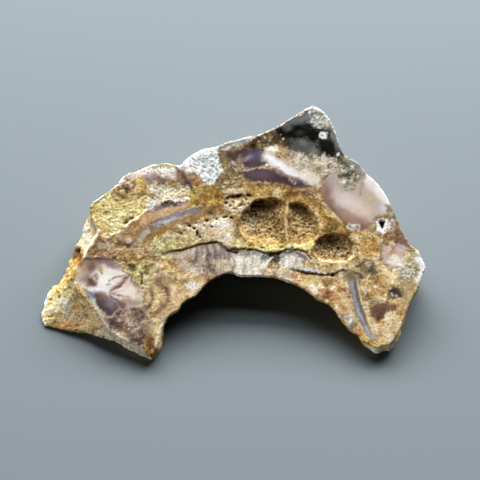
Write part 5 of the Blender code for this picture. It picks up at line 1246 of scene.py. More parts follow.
# The broken flank at the left, with its lumps, seams and pits. Its marks are painted paler than its rock, as
# painted light on a flank that turns from the lamps
FLANK_OUTLINE = [
    (96, 228), (97, 238), (90, 248), (82, 258), (73, 266), (71, 278), (79, 288), (86, 299), (95, 312),
    (101, 323), (110, 333), (134, 346), (152, 358), (154, 366), (100, 345), (60, 336), (36, 326), (38, 300),
    (62, 268), (78, 236), (86, 222),
]
LEFT_FLANK_MARKS = [
    area([(66, 252), (76, 244), (85, 250), (83, 262), (76, 272), (64, 270)],
        [(60, 34, 8), (132, 90, 32), (186, 136, 60), (224, 180, 104)], 2.4, 1.2),
    area([(71, 250), (78, 246.6), (83, 250), (81, 257), (74, 259)], (112, 68, 24), 2, 1.2, strength=0.85),
    # Painted shade: a hole painted near black
    spot(77, 250.5, 2.6, 2.4, (14, 7, 3), 0, 1.4, 0.8, sink=1.1),
    line([(69, 256), (70.5, 262), (69, 268)], 1.6, (226, 196, 136), 1.6, 1, strength=0.75),
    area([(60, 262), (74, 260), (81, 272), (74, 284), (60, 283)],
        [(104, 74, 22), (172, 136, 64), (210, 180, 104), (238, 220, 156)], 2.6, 1.2, shift=0.02),
    area([(84, 224), (91, 222), (94, 230), (90, 238), (86, 246), (79, 246), (81, 236)], (216, 212, 202),
        2.2, 1.4, strength=0.8),
    spot(86.5, 245, 2.6, 4.4, (176, 160, 110), 0, 2, 1.2, strength=0.8),
    line([(92, 226), (95, 230), (98.5, 233)], 2.2, (106, 76, 44), 1.5, 1, strength=0.8),
    spot(93, 233.5, 2.6, 2.4, (188, 148, 88), 0, 1.6, 1, strength=0.8),
    line([(98.5, 231), (94.5, 237.5), (90, 244), (86, 250.5), (84, 257)], 2.4, (248, 242, 228), 1.4, 0.8,
        gloss=0.3, strength=0.95),
    area([(42, 300), (56, 296), (66, 302), (66, 314), (54, 325), (40, 322)],
        [(206, 168, 92), (240, 214, 146), (252, 238, 184), (255, 250, 220)], 3, 1.2, shift=0.14),
    line([(46, 293), (44.5, 300), (44, 306), (41.5, 312), (41.5, 320), (44, 326)], 3.2, (254, 252, 246),
        1.8, 0.9, strength=0.9),
    flecks([(56, 300), (70, 299), (72, 313), (60, 315)], 1.3, 0.5, (255, 252, 240), 2, 1.2, seed=449,
        strength=0.85, sink=-0.1),
    area([(68, 304), (84, 302), (95, 307), (100, 320), (104, 332), (86, 331), (62, 331), (53, 324),
        (62, 315)], [(220, 154, 82), (244, 186, 108), (253, 210, 138), (255, 228, 166), (255, 244, 204)],
        2.6, 1.2, shift=0.06),
    area([(70, 302), (84, 302), (94, 308), (91, 312), (80, 311), (71, 309)], (222, 160, 76), 2.6, 1.2,
        strength=0.7),
    area([(56, 321), (72, 319.6), (84, 321.6), (80, 329.5), (60, 329)], (252, 178, 104), 2.6, 1.2,
        strength=0.75),
    spot(72, 316, 9, 3.6, (250, 224, 190), 0, 3.2, 1.2, strength=0.7),
    area([(68, 284), (82, 284), (87, 296), (92, 304), (76, 305), (68, 298)], [(110, 78, 36), (180, 144, 86),
        (220, 190, 130), (246, 230, 184)], 2.6, 1.2, shift=0.04, strength=0.85),
    line([(69, 302), (76, 300), (83, 302), (90, 306.6)], 1.2, (252, 240, 206), 1.1, 0.9, strength=0.75),
    line([(78, 311), (86, 309.4), (93, 312.6), (97, 319)], 1.1, (252, 236, 200), 1.1, 0.9, strength=0.75),
    line([(76, 290), (80, 295), (84, 299)], 1.2, (142, 104, 58), 1.2, 1, strength=0.7),
    spot(80, 320, 9, 6, (255, 226, 172), 0, 3.4, 1.2, strength=0.5),
    spot(85.6, 315, 3.6, 2.8, (246, 226, 192), 0, 1.5, 1, strength=0.85),
    spot(85.8, 315.2, 2.2, 1.6, (176, 126, 78), 0, 1.2, 1, strength=0.85),
    spot(86, 315.2, 0.9, 0.7, (72, 44, 28), 0, 0.9, 0.7, strength=0.8),
    threads([(44, 290), (70, 268), (84, 296), (96, 314), (80, 328), (46, 322)], 3.2, 0.12, (176, 124, 62),
        2, 1.2, seed=457, strength=0.35, sink=0.1),
    threads([(44, 292), (70, 270), (84, 296), (96, 312), (80, 328), (46, 322)], 2.4, 0.12, (255, 250, 226),
        2, 1.2, seed=461, strength=0.3, sink=-0.08),
    area([(62, 298), (70, 297), (73, 304), (71, 313), (64, 315), (60, 306)], (255, 248, 220), 2.6, 1,
        strength=0.7),
    line([(44, 326.4), (56, 329), (70, 331), (85, 332)], 1.6, (92, 62, 34), 1.2, 0.8, strength=0.85),
    area([(88, 328), (99, 328), (102, 335), (92, 335)], (112, 76, 58), 2.2, 1.2, strength=0.8),
    area([(98, 319), (105, 324), (113, 333), (108, 335), (98, 328)], (196, 184, 160), 2.2, 1.2,
        strength=0.75),
    area([(96, 331), (108, 333), (128, 344), (150, 358), (152, 366), (118, 350), (92, 338)], [(84, 66, 48),
        (150, 130, 102), (206, 188, 154), (244, 230, 200), (255, 252, 238)], 2, 1, shift=0.1),
    line([(113, 333), (122, 338.6), (133, 345.2), (143.6, 353)], 2.6, (255, 246, 224), 1.8, 0.8,
        strength=0.9),
]
FLANK_PITS = holes([
    (50.5, 317, 3, 1.2, -14), (51, 300, 1.6, 1, -20), (60, 297, 1.8, 1, -20),
    (66, 275, 1.8, 1.2, -20), (72, 281, 1, 1.8, -20), (64, 290, 1.4, 0.8, -20), (57, 292, 1.2, 0.8, 20),
    (70, 288, 0.9, 1.1, 0), (78, 325, 1.2, 0.6, 0), (48, 305, 0.8, 1.1, 0), (68, 266, 1.6, 1, 30),
], 0.3, (130, 92, 40))

# The wall of the arch, which the photograph shows in the dark, and its painted shade
ARCH_SHADE_OUTLINE = [
    (158, 372), (166, 332), (206, 291), (230, 280), (262, 280), (296, 287), (330, 305), (352, 338),
    (364, 372),
]
# Painted shade: near-black paint for the arch's wall, which lies in shadow
PAINTED_ARCH_SHADE = [(8, 5, 3), (22, 16, 10), (38, 29, 18), (60, 46, 30)]


# Where things are

def view_frame():
    """The photograph's eye point and its forward and up directions."""
    forward = Vector((0.0, math.cos(VIEW_ELEVATION), -math.sin(VIEW_ELEVATION)))
    up = Vector((0.0, math.sin(VIEW_ELEVATION), math.cos(VIEW_ELEVATION)))
    aim = Vector((0.0, 0.0, FACE_HEIGHT))
    return aim - forward * (PIXEL * FOCAL_PIXELS), forward, up


EYE, FORWARD, UP = view_frame()
FACE_NORMAL = Vector((0.0, -math.sin(FACE_TILT), math.cos(FACE_TILT)))
FACE_POINT = Vector((0.0, 0.0, FACE_HEIGHT))


def seen_on(x, y, point, normal):
    """The place where the photograph's pixel (x, y) meets the plane through point with that normal."""
    across = (x - PHOTO_MIDDLE) / FOCAL_PIXELS
    upward = (PHOTO_MIDDLE - y) / FOCAL_PIXELS
    ray = FORWARD + Vector((across, 0, 0)) + UP * upward
    return EYE + ray * ((point - EYE).dot(normal) / ray.dot(normal))


def on_face(x, y):
    """The place on the sawn face that the photograph shows at (x, y)."""
    return seen_on(x, y, FACE_POINT, FACE_NORMAL)


def at_height(x, y, height):
    """The place at that height that the photograph shows at (x, y)."""
    return seen_on(x, y, Vector((0, 0, height)), Vector((0, 0, 1)))


def pixels_of(points):
    """Where the photograph shows each point, as two arrays of pixels."""
    rays = points - np.array(EYE)
    away = rays @ np.array(FORWARD)
    across = rays[:, 0] / away
    upward = rays @ np.array(UP) / away
    return PHOTO_MIDDLE + FOCAL_PIXELS * across, PHOTO_MIDDLE - FOCAL_PIXELS * upward


# Noise that runs through the stone, for rows of points in millimetres

# Factors that scatter a cell's whole-numbered place and a seed over all numbers of 32 bits
PLACE_FACTORS = (0x9E3779B1, 0x85EBCA77, 0xC2B2AE3D)
SEED_FACTOR = 0x27D4EB2F
FIRST_MIXER = 0x7FEB352D
SECOND_MIXER = 0x846CA68B
HASH_RANGE = 2**32
# What brings smooth noise to run from about -1 to 1
SWELL_GAIN = 1.8


def hashed(cell, seed):
    """A number from 0 to 1 for each whole-numbered cell."""
    whole = cell.astype(np.int64).astype(np.uint32)
    value = np.uint32(seed * SEED_FACTOR % HASH_RANGE)
    for axis, factor in enumerate(PLACE_FACTORS):
        value = value + whole[..., axis] * np.uint32(factor)
    value ^= value >> np.uint32(16)
    value *= np.uint32(FIRST_MIXER)
    value ^= value >> np.uint32(15)
    value *= np.uint32(SECOND_MIXER)
    value ^= value >> np.uint32(16)
    return value / HASH_RANGE


def swell(points, size, seed):
    """Smooth noise from about -1 to 1, with lumps about size millimetres across."""
    place = points / size
    low = np.floor(place)
    part = place - low
    ease = part * part * part * (part * (part * 6.0 - 15.0) + 10.0)
    total = np.zeros(len(points))
    for corner in itertools.product((0, 1), repeat=3):
        cell = low + corner
        weight = np.prod(np.where(corner, ease, 1.0 - ease), axis=1)
        for axis in range(3):
            total += weight * (part[:, axis] - corner[axis]) * (hashed(cell, seed * 3 + axis) * 2.0 - 1.0)
    return total * SWELL_GAIN


def fractal(points, size, seed, octaves=3, gain=0.55):
    """Layers of swell, each half the size of the one before."""
    total = np.zeros(len(points))
    for octave in range(octaves):
        total += swell(points, size * 0.5**octave, seed + octave * 17) * gain**octave
    return total


def cells(points, size, seed):
    """Distances to the nearest and next cell centre, as shares of size, and a number from 0 to 1 per cell."""
    place = points / size
    low = np.floor(place)
    near = np.full(len(points), np.inf)
    second = near.copy()
    name = np.zeros(len(points))
    for offset in itertools.product((-1, 0, 1), repeat=3):
        cell = low + offset
        gap = np.zeros(len(points))
        for axis in range(3):
            gap += (place[:, axis] - cell[:, axis] - hashed(cell, seed * 5 + axis)) ** 2
        gap = np.sqrt(gap)
        closer = gap < near
        second = np.where(closer, near, np.minimum(second, gap))
        name = np.where(closer, hashed(cell, seed * 5 + 3), name)
        near = np.where(closer, gap, near)
    return near, second, name


def ramp(value, low, high):
    """0 below low, 1 above high and a smooth rise between, or a fall where low is above high."""
    share = np.clip((value - low) / (high - low), 0.0, 1.0)
    return share * share * (3.0 - 2.0 * share)


def reach_along(x, y, start, end):
    """Each point's distance from a stretch between two places, and how far along the stretch it lies."""
    (ax, ay), (bx, by) = start, end
    length = (bx - ax) ** 2 + (by - ay) ** 2
    share = np.clip(((x - ax) * (bx - ax) + (y - ay) * (by - ay)) / length, 0, 1)
    return np.hypot(x - ax - share * (bx - ax), y - ay - share * (by - ay)), share


def reach_into(x, y, outline):
    """How deep each point (x, y) lies inside a closed outline, in pixels; negative outside it."""
    inside = np.zeros(len(x), bool)
    nearest = np.full(len(x), np.inf)
    for start, end in zip(outline, outline[1:] + outline[:1]):
        nearest = np.minimum(nearest, reach_along(x, y, start, end)[0])
        (ax, ay), (bx, by) = start, end
        if ay != by:
            crosses = (ay > y) != (by > y)
            inside ^= crosses & (x < ax + (y - ay) * (bx - ax) / (by - ay))
    return np.where(inside, nearest, -nearest)


# The stone's form

def outward(before, after):
    """The level direction that points out of the outline, which runs clockwise."""
    along = after - before
    return Vector((-along.y, along.x, 0.0)).normalized()


def flank_rings():
    """Four rings of points round the stone, from the edge of the sawn face down to the base."""
    edges = LEFT_FLANK + BACK_EDGE + RIGHT_TIP + ARCH_EDGE
    rims = [on_face(x, y) for x, y, *_ in edges]
    count = len(rims)
    rings = []
    for i, (rim, (_, _, *flank)) in enumerate(zip(rims, edges)):
        out = outward(rims[i - 1], rims[(i + 1) % count])
        if len(flank) == 3:
            widest_x, widest_y, height = flank
            belly = at_height(widest_x, widest_y, height / TO_MM)
            shoulder = rim.lerp(belly, SHOULDER_OUT)
            shoulder.z = rim.z + (belly.z - rim.z) * SHOULDER_DOWN
            base = belly - out * (belly.z * UNDERCUT)
        else:
            lean = flank[0] / TO_MM
            shoulder = rim + out * EDGE_BULGE - Vector((0, 0, EDGE_WEAR))
            belly = rim + out * (lean / 2 + BELLY_BULGE)
            belly.z = rim.z * BELLY_AT
            base = rim + out * lean
        base.z = 0.0
        rings.append((rim, shoulder, belly, base))
    return rings


def mesh_object(name, mesh):
    """A new object in the scene, made from a bmesh that isn't needed after it."""
    data = bpy.data.meshes.new(name)
    mesh.to_mesh(data)
    mesh.free()
    thing = bpy.data.objects.new(name, data)
    bpy.context.scene.collection.objects.link(thing)
    return thing


def make_block():
    """The slab before it is broken: a loft down the four rings, closed by the sawn face and the base."""
    mesh = bmesh.new()
    columns = [[mesh.verts.new(point) for point in column] for column in flank_rings()]
    for i, column in enumerate(columns):
        last = columns[i - 1]
        for level in range(len(column) - 1):
            mesh.faces.new((last[level], column[level], column[level + 1], last[level + 1]))
    mesh.faces.new([column[0] for column in columns])
    mesh.faces.new([column[-1] for column in reversed(columns)])
    bmesh.ops.recalc_face_normals(mesh, faces=mesh.faces)
    bmesh.ops.triangulate(mesh, faces=mesh.faces)
    return mesh_object("stone", mesh)


def vug_lump(x, y, sinks):
    """How much wider a hollow is at this place of its outline and share of its depth, or narrower."""
    place = Vector((x * VUG_LUMPS_PER_PIXEL, y * VUG_LUMPS_PER_PIXEL, sinks * VUG_LUMPS_DOWN))
    return VUG_LUMPS * noise.noise(place)


def make_vug(outline, depth):
    """A lumpy bowl that cuts one hollow: rings of its outline, drawn in and back as they go down."""
    mesh = bmesh.new()
    middle_x = sum(x for x, _ in outline) / len(outline)
    middle_y = sum(y for _, y in outline) / len(outline)
    height = max(y for _, y in outline) - min(y for _, y in outline)
    rings = []
    for sinks, width, back in VUG_LEVELS:
        level = []
        for x, y in outline:
            wide = width
            if sinks > 0:
                wide += width * vug_lump(x, y, sinks)
            shown_x = middle_x + (x - middle_x) * wide
            shown_y = middle_y - back * height + (y - middle_y) * wide
            level.append(mesh.verts.new(on_face(shown_x, shown_y) - FACE_NORMAL * (depth * sinks)))
        rings.append(level)
    for upper, lower in zip(rings, rings[1:]):
        for i in range(len(outline)):
            mesh.faces.new((upper[i - 1], upper[i], lower[i], lower[i - 1]))
    mesh.faces.new(rings[0])
    mesh.faces.new(reversed(rings[-1]))
    bmesh.ops.recalc_face_normals(mesh, faces=mesh.faces)
    bmesh.ops.triangulate(mesh, faces=mesh.faces)
    return mesh_object("vug", mesh)


def applied(stone, kind, **settings):
    """Adds a modifier with these settings and applies it."""
    modifier = stone.modifiers.new(kind.title(), kind)
    for key, value in settings.items():
        setattr(modifier, key, value)
    graph = bpy.context.evaluated_depsgraph_get()
    data = bpy.data.meshes.new_from_object(stone.evaluated_get(graph))
    stone.modifiers.clear()
    old, stone.data = stone.data, data
    bpy.data.meshes.remove(old)


def split_what_faces_up(stone):
    """Splits every face that looks up into four."""
    mesh = bmesh.new()
    mesh.from_mesh(stone.data)
    edges = {edge for face in mesh.faces if face.normal.z > SPLIT_ABOVE for edge in face.edges}
    bmesh.ops.subdivide_edges(mesh, edges=list(edges), cuts=1, use_grid_fill=True)
    bmesh.ops.triangulate(mesh, faces=[face for face in mesh.faces if len(face.verts) > 4])
    mesh.to_mesh(stone.data)
    mesh.free()


def shape_stone():
    """The slab with its hollows cut, as one closed mesh that is fine enough to carve."""
    stone = make_block()
    for outline, depth in VUGS:
        cutter = make_vug(outline, depth)
        applied(stone, "BOOLEAN", operation="DIFFERENCE", object=cutter, solver="EXACT")
        bpy.data.objects.remove(cutter)
    applied(stone, "REMESH", mode="VOXEL", voxel_size=VOXEL)
    split_what_faces_up(stone)
    return stone


# What is painted and carved on the stone, point by point

def linear(tint):
    """A colour named as it looks, 0 to 255, as the light that it gives back."""
    share = np.array(tint, float) / 255.0
    return np.where(share <= 0.04045, share / 12.92, ((share + 0.055) / 1.055) ** 2.4)


def held(ragged, width, limit):
    """Raggedness, held down so that a mark of this width keeps its shape."""
    most, pixels = limit
    return min(ragged, most + width / pixels)


class Surface:
    """The stone's points with their place in the photograph's pixels, their colour, polish and relief."""

    def __init__(self, points, normals):
        self.count = len(points)
        self.mm = points * TO_MM
        self.height = self.mm[:, 2]
        self.x, self.y = pixels_of(points)
        self.under = (np.array(FACE_POINT) - points) @ np.array(FACE_NORMAL) * TO_MM
        self.up = normals @ np.array(FACE_NORMAL)
        self.away = normals @ np.array(FORWARD)
        self.back = normals[:, 1]
        self.colour = np.zeros((self.count, 3))
        self.polish = np.zeros(self.count)
        self.relief = np.zeros(self.count)
        self.cloud = fractal(self.mm, size=9.0, seed=11)
        self.patches = fractal(self.mm, size=4.6, seed=19, gain=0.6)
        self.warmth = fractal(self.mm, size=4.0, seed=41, octaves=2)
        self.mottle = fractal(self.mm, size=2.4, seed=23)
        self.speck = fractal(self.mm, size=0.9, seed=37, octaves=2, gain=0.8)
        self.streaks = self.along_arch()
        self.crackle = self.crackled()
        hidden = ramp(self.away, -0.1, 0.3) * ramp(self.under, 1.0, 6.0)
        waves = SEEN_WAVES + HIDDEN_WAVES * hidden
        self.wave_x = fractal(self.mm, size=WAVE_SIZE, seed=51) * waves
        self.wave_y = fractal(self.mm, size=WAVE_SIZE, seed=67) * waves
        self.grit = fractal(self.mm, size=0.85, seed=83, octaves=2, gain=0.7) * GRIT

    def along_arch(self):
        """Streaks that follow the arch: noise drawn out along circles round its centre."""
        dx = self.x - ARCH_CENTRE[0]
        dy = self.y - ARCH_CENTRE[1]
        outward_mm = np.hypot(dx, dy) * PIXEL * TO_MM
        along_mm = np.arctan2(dy, dx) * STREAK_RADIUS * PIXEL * TO_MM
        drawn_out = [outward_mm, along_mm * STREAK_ALONG, self.height * STREAK_DOWN]
        return fractal(np.stack(drawn_out, axis=1), size=1.3, seed=71)

    def crackled(self):
        """Thin pale seams between grains, with some grains dark, in patches."""
        near, second, name = cells(self.mm, size=1.15, seed=7)
        seams = ramp(second - near, 0.34, 0.02)
        dark_grains = ramp(near, 0.42, 0.10) * (name > 0.45)
        patchy = ramp(fractal(self.mm, size=6.0, seed=13, octaves=2), -0.1, 0.5)
        return (seams - 1.1 * dark_grains) * (0.25 + 0.75 * patchy)

    def waved(self, ragged):
        """Each point's pixel, moved to and fro so that what is drawn there gets a wavy edge."""
        return self.x + self.wave_x * ragged, self.y + self.wave_y * ragged

    def inside(self, outline, soft, ragged):
        """1 inside a closed outline and 0 outside it."""
        xs, ys = zip(*outline)
        ragged = held(ragged, min(max(xs) - min(xs), max(ys) - min(ys)), AREA_LIMIT)
        x, y = self.waved(ragged)
        pad = soft + 1.0
        close = (x > min(xs) - pad) & (x < max(xs) + pad) & (y > min(ys) - pad) & (y < max(ys) + pad)
        mask = np.zeros(self.count)
        depth = reach_into(x[close], y[close], outline) + self.grit[close] * ragged
        mask[close] = ramp(depth, -soft, soft)
        return mask

    def along(self, points, width, soft, ragged, last=None):
        """1 on a line and 0 beside it."""
        ragged = held(ragged, width, LINE_LIMIT)
        x, y = self.waved(ragged)
        last = width if last is None else last
        mask = np.zeros(self.count)
        for i, (start, end) in enumerate(zip(points, points[1:])):
            away, share = reach_along(x, y, start, end)
            wide = width + (last - width) * (i + share) / (len(points) - 1)
            away += self.grit * (EDGE_GRIT * ragged)
            mask = np.maximum(mask, ramp(away - wide / 2, soft, -soft))
        return mask

    def oval(self, x, y, across, down, turn, soft, ragged):
        """1 inside an oval and 0 outside it."""
        small = min(across, down)
        ragged = held(ragged, small, OVAL_LIMIT)
        here_x, here_y = self.waved(ragged)
        cos = math.cos(math.radians(turn))
        sin = math.sin(math.radians(turn))
        dx = here_x - x
        dy = here_y - y
        reach = np.hypot((dx * cos + dy * sin) / across, (dy * cos - dx * sin) / down)
        reach += self.grit * (EDGE_GRIT * ragged) / small
        return ramp(reach, 1.0 + soft / small, 1.0 - soft / small)

    def flecked(self, size, share, seed):
        """1 on small flecks, in this share of the cells."""
        near, _, name = cells(self.mm, size, seed)
        return ramp(near, 0.52, 0.26) * (name < share)

    def threaded(self, size, width, seed):
        """1 on fine lines, where noise of this size passes through 0."""
        return ramp(np.abs(fractal(self.mm, size, seed, octaves=2)), width, width * 0.3)

    def mixed(self, paint, shift, streak):
        """The colour of a paint at every point."""
        if isinstance(paint, tuple):
            grain = 1.0 + MOTTLE_IN_COLOUR * self.mottle + SPECK_IN_COLOUR * self.speck * (1.0 - self.polish)
            return linear(paint) * grain[:, None]
        tone = TONE_MIDDLE + shift + streak * self.streaks
        for noise_name, share in TONE_SHARES.items():
            tone = tone + share * getattr(self, noise_name)
        levels = np.linspace(0.0, 1.0, len(paint))
        tint = np.stack([np.interp(tone, levels, channel) for channel in linear(paint).T], axis=1)
        return tint * (1.0 + self.warmth[:, None] * np.array(WARMTH))

    def put(self, mask, paint, strength=1.0, gloss=None, flat=None, sink=0.0, shift=0.0, streak=0.0):
        """Paints inside a mask. Gloss polishes it, flat levels its relief, and sink dents it, in millimetres.

        Shift makes a ground lighter or darker, and streak draws it out along the arch.
        """
        mask = mask * strength
        self.colour += (self.mixed(paint, shift, streak) - self.colour) * mask[:, None]
        if gloss is not None:
            self.polish += (gloss - self.polish) * mask
            self.relief *= 1.0 - (gloss if flat is None else flat) * mask
        self.relief -= sink * mask

    def draw(self, marks, within=1.0):
        """Paints a list of marks in their order, inside a mask."""
        for reach, paint, effect in marks:
            self.put(reach(self) * within, paint, **effect)


def under_ledge(s, ledge, foot, rise):
    """1 at the foot of a ledge drawn from left to right, falling to 0 where the band has come up again."""
    x, y = s.waved(ragged=0.3)
    xs, ys = np.array(ledge, float).T
    below = y - np.interp(x, xs, ys)
    edge = np.clip(reach_into(x, y, ledge + foot) / LEDGE_PIXELS, 0, 1)
    return edge * np.clip(1.0 - below / rise, 0.0, 1.0)


def grains(s, size, seed):
    """Grains of so many millimetres: how high each point stands on one, and where their seams lie."""
    near, _, _ = cells(s.mm, size, seed)
    return 0.5 - near, ramp(near, 0.70, 0.95)


def paint_rock(s):
    """The brown and ochre matrix that everything else lies in, with its pores."""
    s.put(np.ones(s.count), ROCK, streak=0.12)
    s.relief += ROCK_GRAIN_MM * (s.mottle + s.speck + s.crackle)
    # The pores are dented a little and painted brown as the shade in them
    near, _, name = cells(s.mm, size=1.5, seed=5)
    pores = ramp(near, 0.34, 0.16) * (name > 0.62)
    s.put(pores, PORE_BROWN, strength=0.6, sink=0.15)


def paint_crust(s):
    """The rough crusts of the upper left, which the saw didn't reach."""
    s.draw(LEFT_TOP_MARKS)
    yellow = s.inside(CRUST_OUTLINE, soft=2.0, ragged=0.7)
    cream = s.inside(CREAM_OUTLINE, soft=2.0, ragged=1.0)
    rough = np.maximum(yellow, cream)
    lumps, seams = grains(s, size=0.8, seed=131)
    s.relief += rough * (0.09 * lumps + 0.02 * s.mottle + 0.05 * s.speck - CRUST_MM)
    s.draw(CRUST_MARKS)
    s.put(rough * seams, CRUST_SEAM, strength=0.4)


def paint_druse(s):
    """The patch of white crystals at the top, with brown speckled rock to its right."""
    s.draw(DRUSE_MARKS)
    crystals = s.inside(DRUSE_OUTLINE, soft=1.0, ragged=0.8)
    lumps, _ = grains(s, size=0.9, seed=137)
    s.relief += crystals * (0.12 * lumps + 0.05 * s.speck)
    sparkle = s.speck + 0.6 * s.mottle
    s.put(crystals * ramp(sparkle, -0.25, -0.9), CRYSTAL_GREY, strength=0.6)
    s.put(crystals * ramp(sparkle, -0.3, 0.3), CRYSTAL_WHITE, strength=0.8)
    s.draw(GREY_CRYSTALS)
    s.polish += (CRYSTAL_POLISH - s.polish) * crystals


def paint_pink(s):
    """The large milky pink chalcedony at the right, with the ringed eyes below it."""
    s.draw(PINK_BODY_MARKS, s.inside(PINK_OUTLINE, soft=1.1, ragged=0.4))
    s.draw(PINK_MARKS)


def paint_vugs(s):
    """The sponge of quartz that lines the hollows: open cells between thin ridges, with painted shade on
    slopes that face the lamps.
    """
    left = s.inside(BIG_VUG_LEFT, soft=1.5, ragged=0.2)
    right = s.inside(BIG_VUG_RIGHT, soft=1.5, ragged=0.2)
    small = s.inside(SMALL_VUG, soft=2.0, ragged=0.2)
    lining = np.maximum.reduce([left, right, small]) * ramp(s.under, 0.5, 1.4)
    near, second, name = cells(s.mm, size=1.6, seed=91)
    fine_near, fine_second, _ = cells(s.mm, size=0.8, seed=113)
    ridge = ramp(second - near, 0.34, 0.04)
    fine_ridge = ramp(fine_second - fine_near, 0.4, 0.05)
    s.put(lining, SPONGE)
    s.put(lining * ramp(second - near, 0.2, 0.7), CELL_BROWN, strength=0.6)
    s.put(lining * ridge * ramp(name, 0.2, 0.9), RIDGE_CREAM, strength=0.6)
    s.relief += lining * (0.30 * ridge + 0.18 * fine_ridge - SPONGE_MM)
    s.draw(VUG_MARKS, lining)
    # Painted shade: brown on the lining where it faces back towards the lamps, to damp the light it catches
    s.put(lining * ramp(s.back, 0.10, 0.65), LIT_SLOPE_SHADE_BROWN, strength=0.45)


def paint_grey_band(s):
    """The fibrous grey and white quartz under the two ledges, down to the arch."""
    coarse = swell(s.mm * np.array(COARSE_FIBRE), size=1.5, seed=201)
    fine = swell(s.mm * np.array(FINE_FIBRE), size=1.5, seed=203)
    fibre = coarse + 0.6 * fine
    for outline, paint in ((BAND_LEFT, GREY_FIBRE), (BAND_MIDDLE, WHITE_FIBRE), (BAND_RIGHT, WHITE_FIBRE)):
        band = s.inside(outline, soft=1.5, ragged=0.7)
        s.put(band, paint, gloss=0.2, flat=0.6, shift=0.05)
        s.put(band * ramp(fibre, 0.1, 0.7), paint[1], strength=0.75)
        s.put(band * ramp(fibre, -0.1, -0.7), paint[-1], strength=0.65)
        s.relief += band * np.clip(fibre, -1, 1) * FIBRE_MM
    s.draw(GREY_BAND_MARKS)
    s.relief -= under_ledge(s, LEDGE, BAND_FOOT, BAND_RISE) * BAND_DEPTH * TO_MM
    s.relief -= under_ledge(s, SECOND_LEDGE, SECOND_BAND_FOOT, SECOND_BAND_RISE) * SECOND_BAND_DEPTH * TO_MM
    # The cracks, dented a little and painted dark as the ledges' shadow
    s.draw(CRACK_AND_SHADOW_MARKS)


def paint_eye(s):
    """The big agate eye at the lower left: a white heart with rays, mauve lobes and a blue edge."""
    s.draw(EYE_MARKS, s.inside(EYE_OUTLINE, soft=1.8, ragged=0.8))
    s.draw(EYE_RIM_MARKS)


def paint_left_flank(s):
    """The broken flank at the left, as the photograph shows it: yellow, cream and orange, with pits. Its
    marks are painted paler than its rock, as painted light.
    """
    flank = s.inside(FLANK_OUTLINE, soft=1.2, ragged=0.4)
    s.put(flank, YELLOW_CRUST, shift=0.02)
    lumps, seams = grains(s, size=0.9, seed=149)
    s.relief += flank * (0.10 * lumps + 0.08 * s.mottle)
    s.put(flank * seams, FLANK_SEAM, strength=0.35)
    s.draw(LEFT_FLANK_MARKS)
    s.draw(FLANK_PITS)


def paint_hidden_sides(s):
    """Plain rock on what the photograph doesn't show, and painted shade on the arch's wall. Near its edge the
    face's zones show through.
    """
    # Painted shade: the arch's wall, which lies in shadow, is painted near black
    wall = s.inside(ARCH_SHADE_OUTLINE, soft=1.5, ragged=0.2) * ramp(s.under, 1.0, 3.5)
    s.put(wall, PAINTED_ARCH_SHADE, strength=0.85, gloss=0.0, flat=0.0)
    sides = ramp(s.up, 0.5, 0.1) * ramp(s.under + 2.0 * s.cloud, 2.0, 7.0) * ramp(s.away, -0.15, 0.15)
    s.put(sides, SIDE_ROCK, strength=0.8, gloss=0.0, flat=0.0, streak=0.1)
    s.polish *= 1.0 - 0.7 * ramp(s.height, 1.0, 0.2)


def break_flanks(s):
    """The broken sides: flat chips and small lumps, which fade out at the sawn face and at the base."""
    side = ramp(s.under, 0.3, 1.6) * ramp(s.up, 0.85, 0.6) * ramp(s.height, 0.4, 2.0)
    chips, _ = grains(s, size=6.0, seed=151)
    small_chips, _ = grains(s, size=2.2, seed=157)
    broken = CHIPS_MM * chips + SMALL_CHIPS_MM * small_chips + 0.25 * s.mottle
    s.relief += side * (broken - BROKEN_OFF_MM)
    s.relief *= ramp(s.height, 0.1, 0.6)


def paint_stone(s):
    """Every zone of the stone, from the matrix up. The later ones lie over the earlier ones."""
    paint_rock(s)
    s.draw(GROUND_MARKS)
    paint_crust(s)
    s.draw(BAND_MARKS)
    paint_druse(s)
    s.draw(POROUS_MARKS + POROUS_HOLES)
    s.draw(POCKET_MARKS + POCKET_HOLES)
    s.draw(PURPLE_MARKS + PEAK_MARKS + CLOUD_MARKS)
    paint_pink(s)
    paint_vugs(s)
    s.draw(LIP_MARKS + LEFT_LEG_MARKS)
    paint_grey_band(s)
    s.draw(RIGHT_MARKS + VEIN_MARKS + DARK_SPOT_MARKS)
    paint_eye(s)
    paint_left_flank(s)
    paint_hidden_sides(s)
    break_flanks(s)


def read_points(vertices, key):
    """One property of all points of a mesh, as rows of x, y and z."""
    values = np.empty(len(vertices) * 3, np.float32)
    vertices.foreach_get(key, values)
    return values.reshape(-1, 3).astype(float)


def carved(s, points, normals):
    """The points with their relief. The sawn face is brought onto its plane, and the base stays flat."""
    up = np.array(FACE_NORMAL)
    sawn = ramp(np.abs(s.under), *SAWN_WITHIN_MM) * ramp(s.up, *SAWN_LOOKS_UP)
    moved = points + up * (s.under / TO_MM * sawn)[:, None]
    push = normals + (up - normals) * sawn[:, None]
    moved += push * (s.relief / TO_MM)[:, None]
    moved[:, 2] = np.where(s.height < BASE_MM, 0.0, np.maximum(moved[:, 2], 0.0))
    return moved


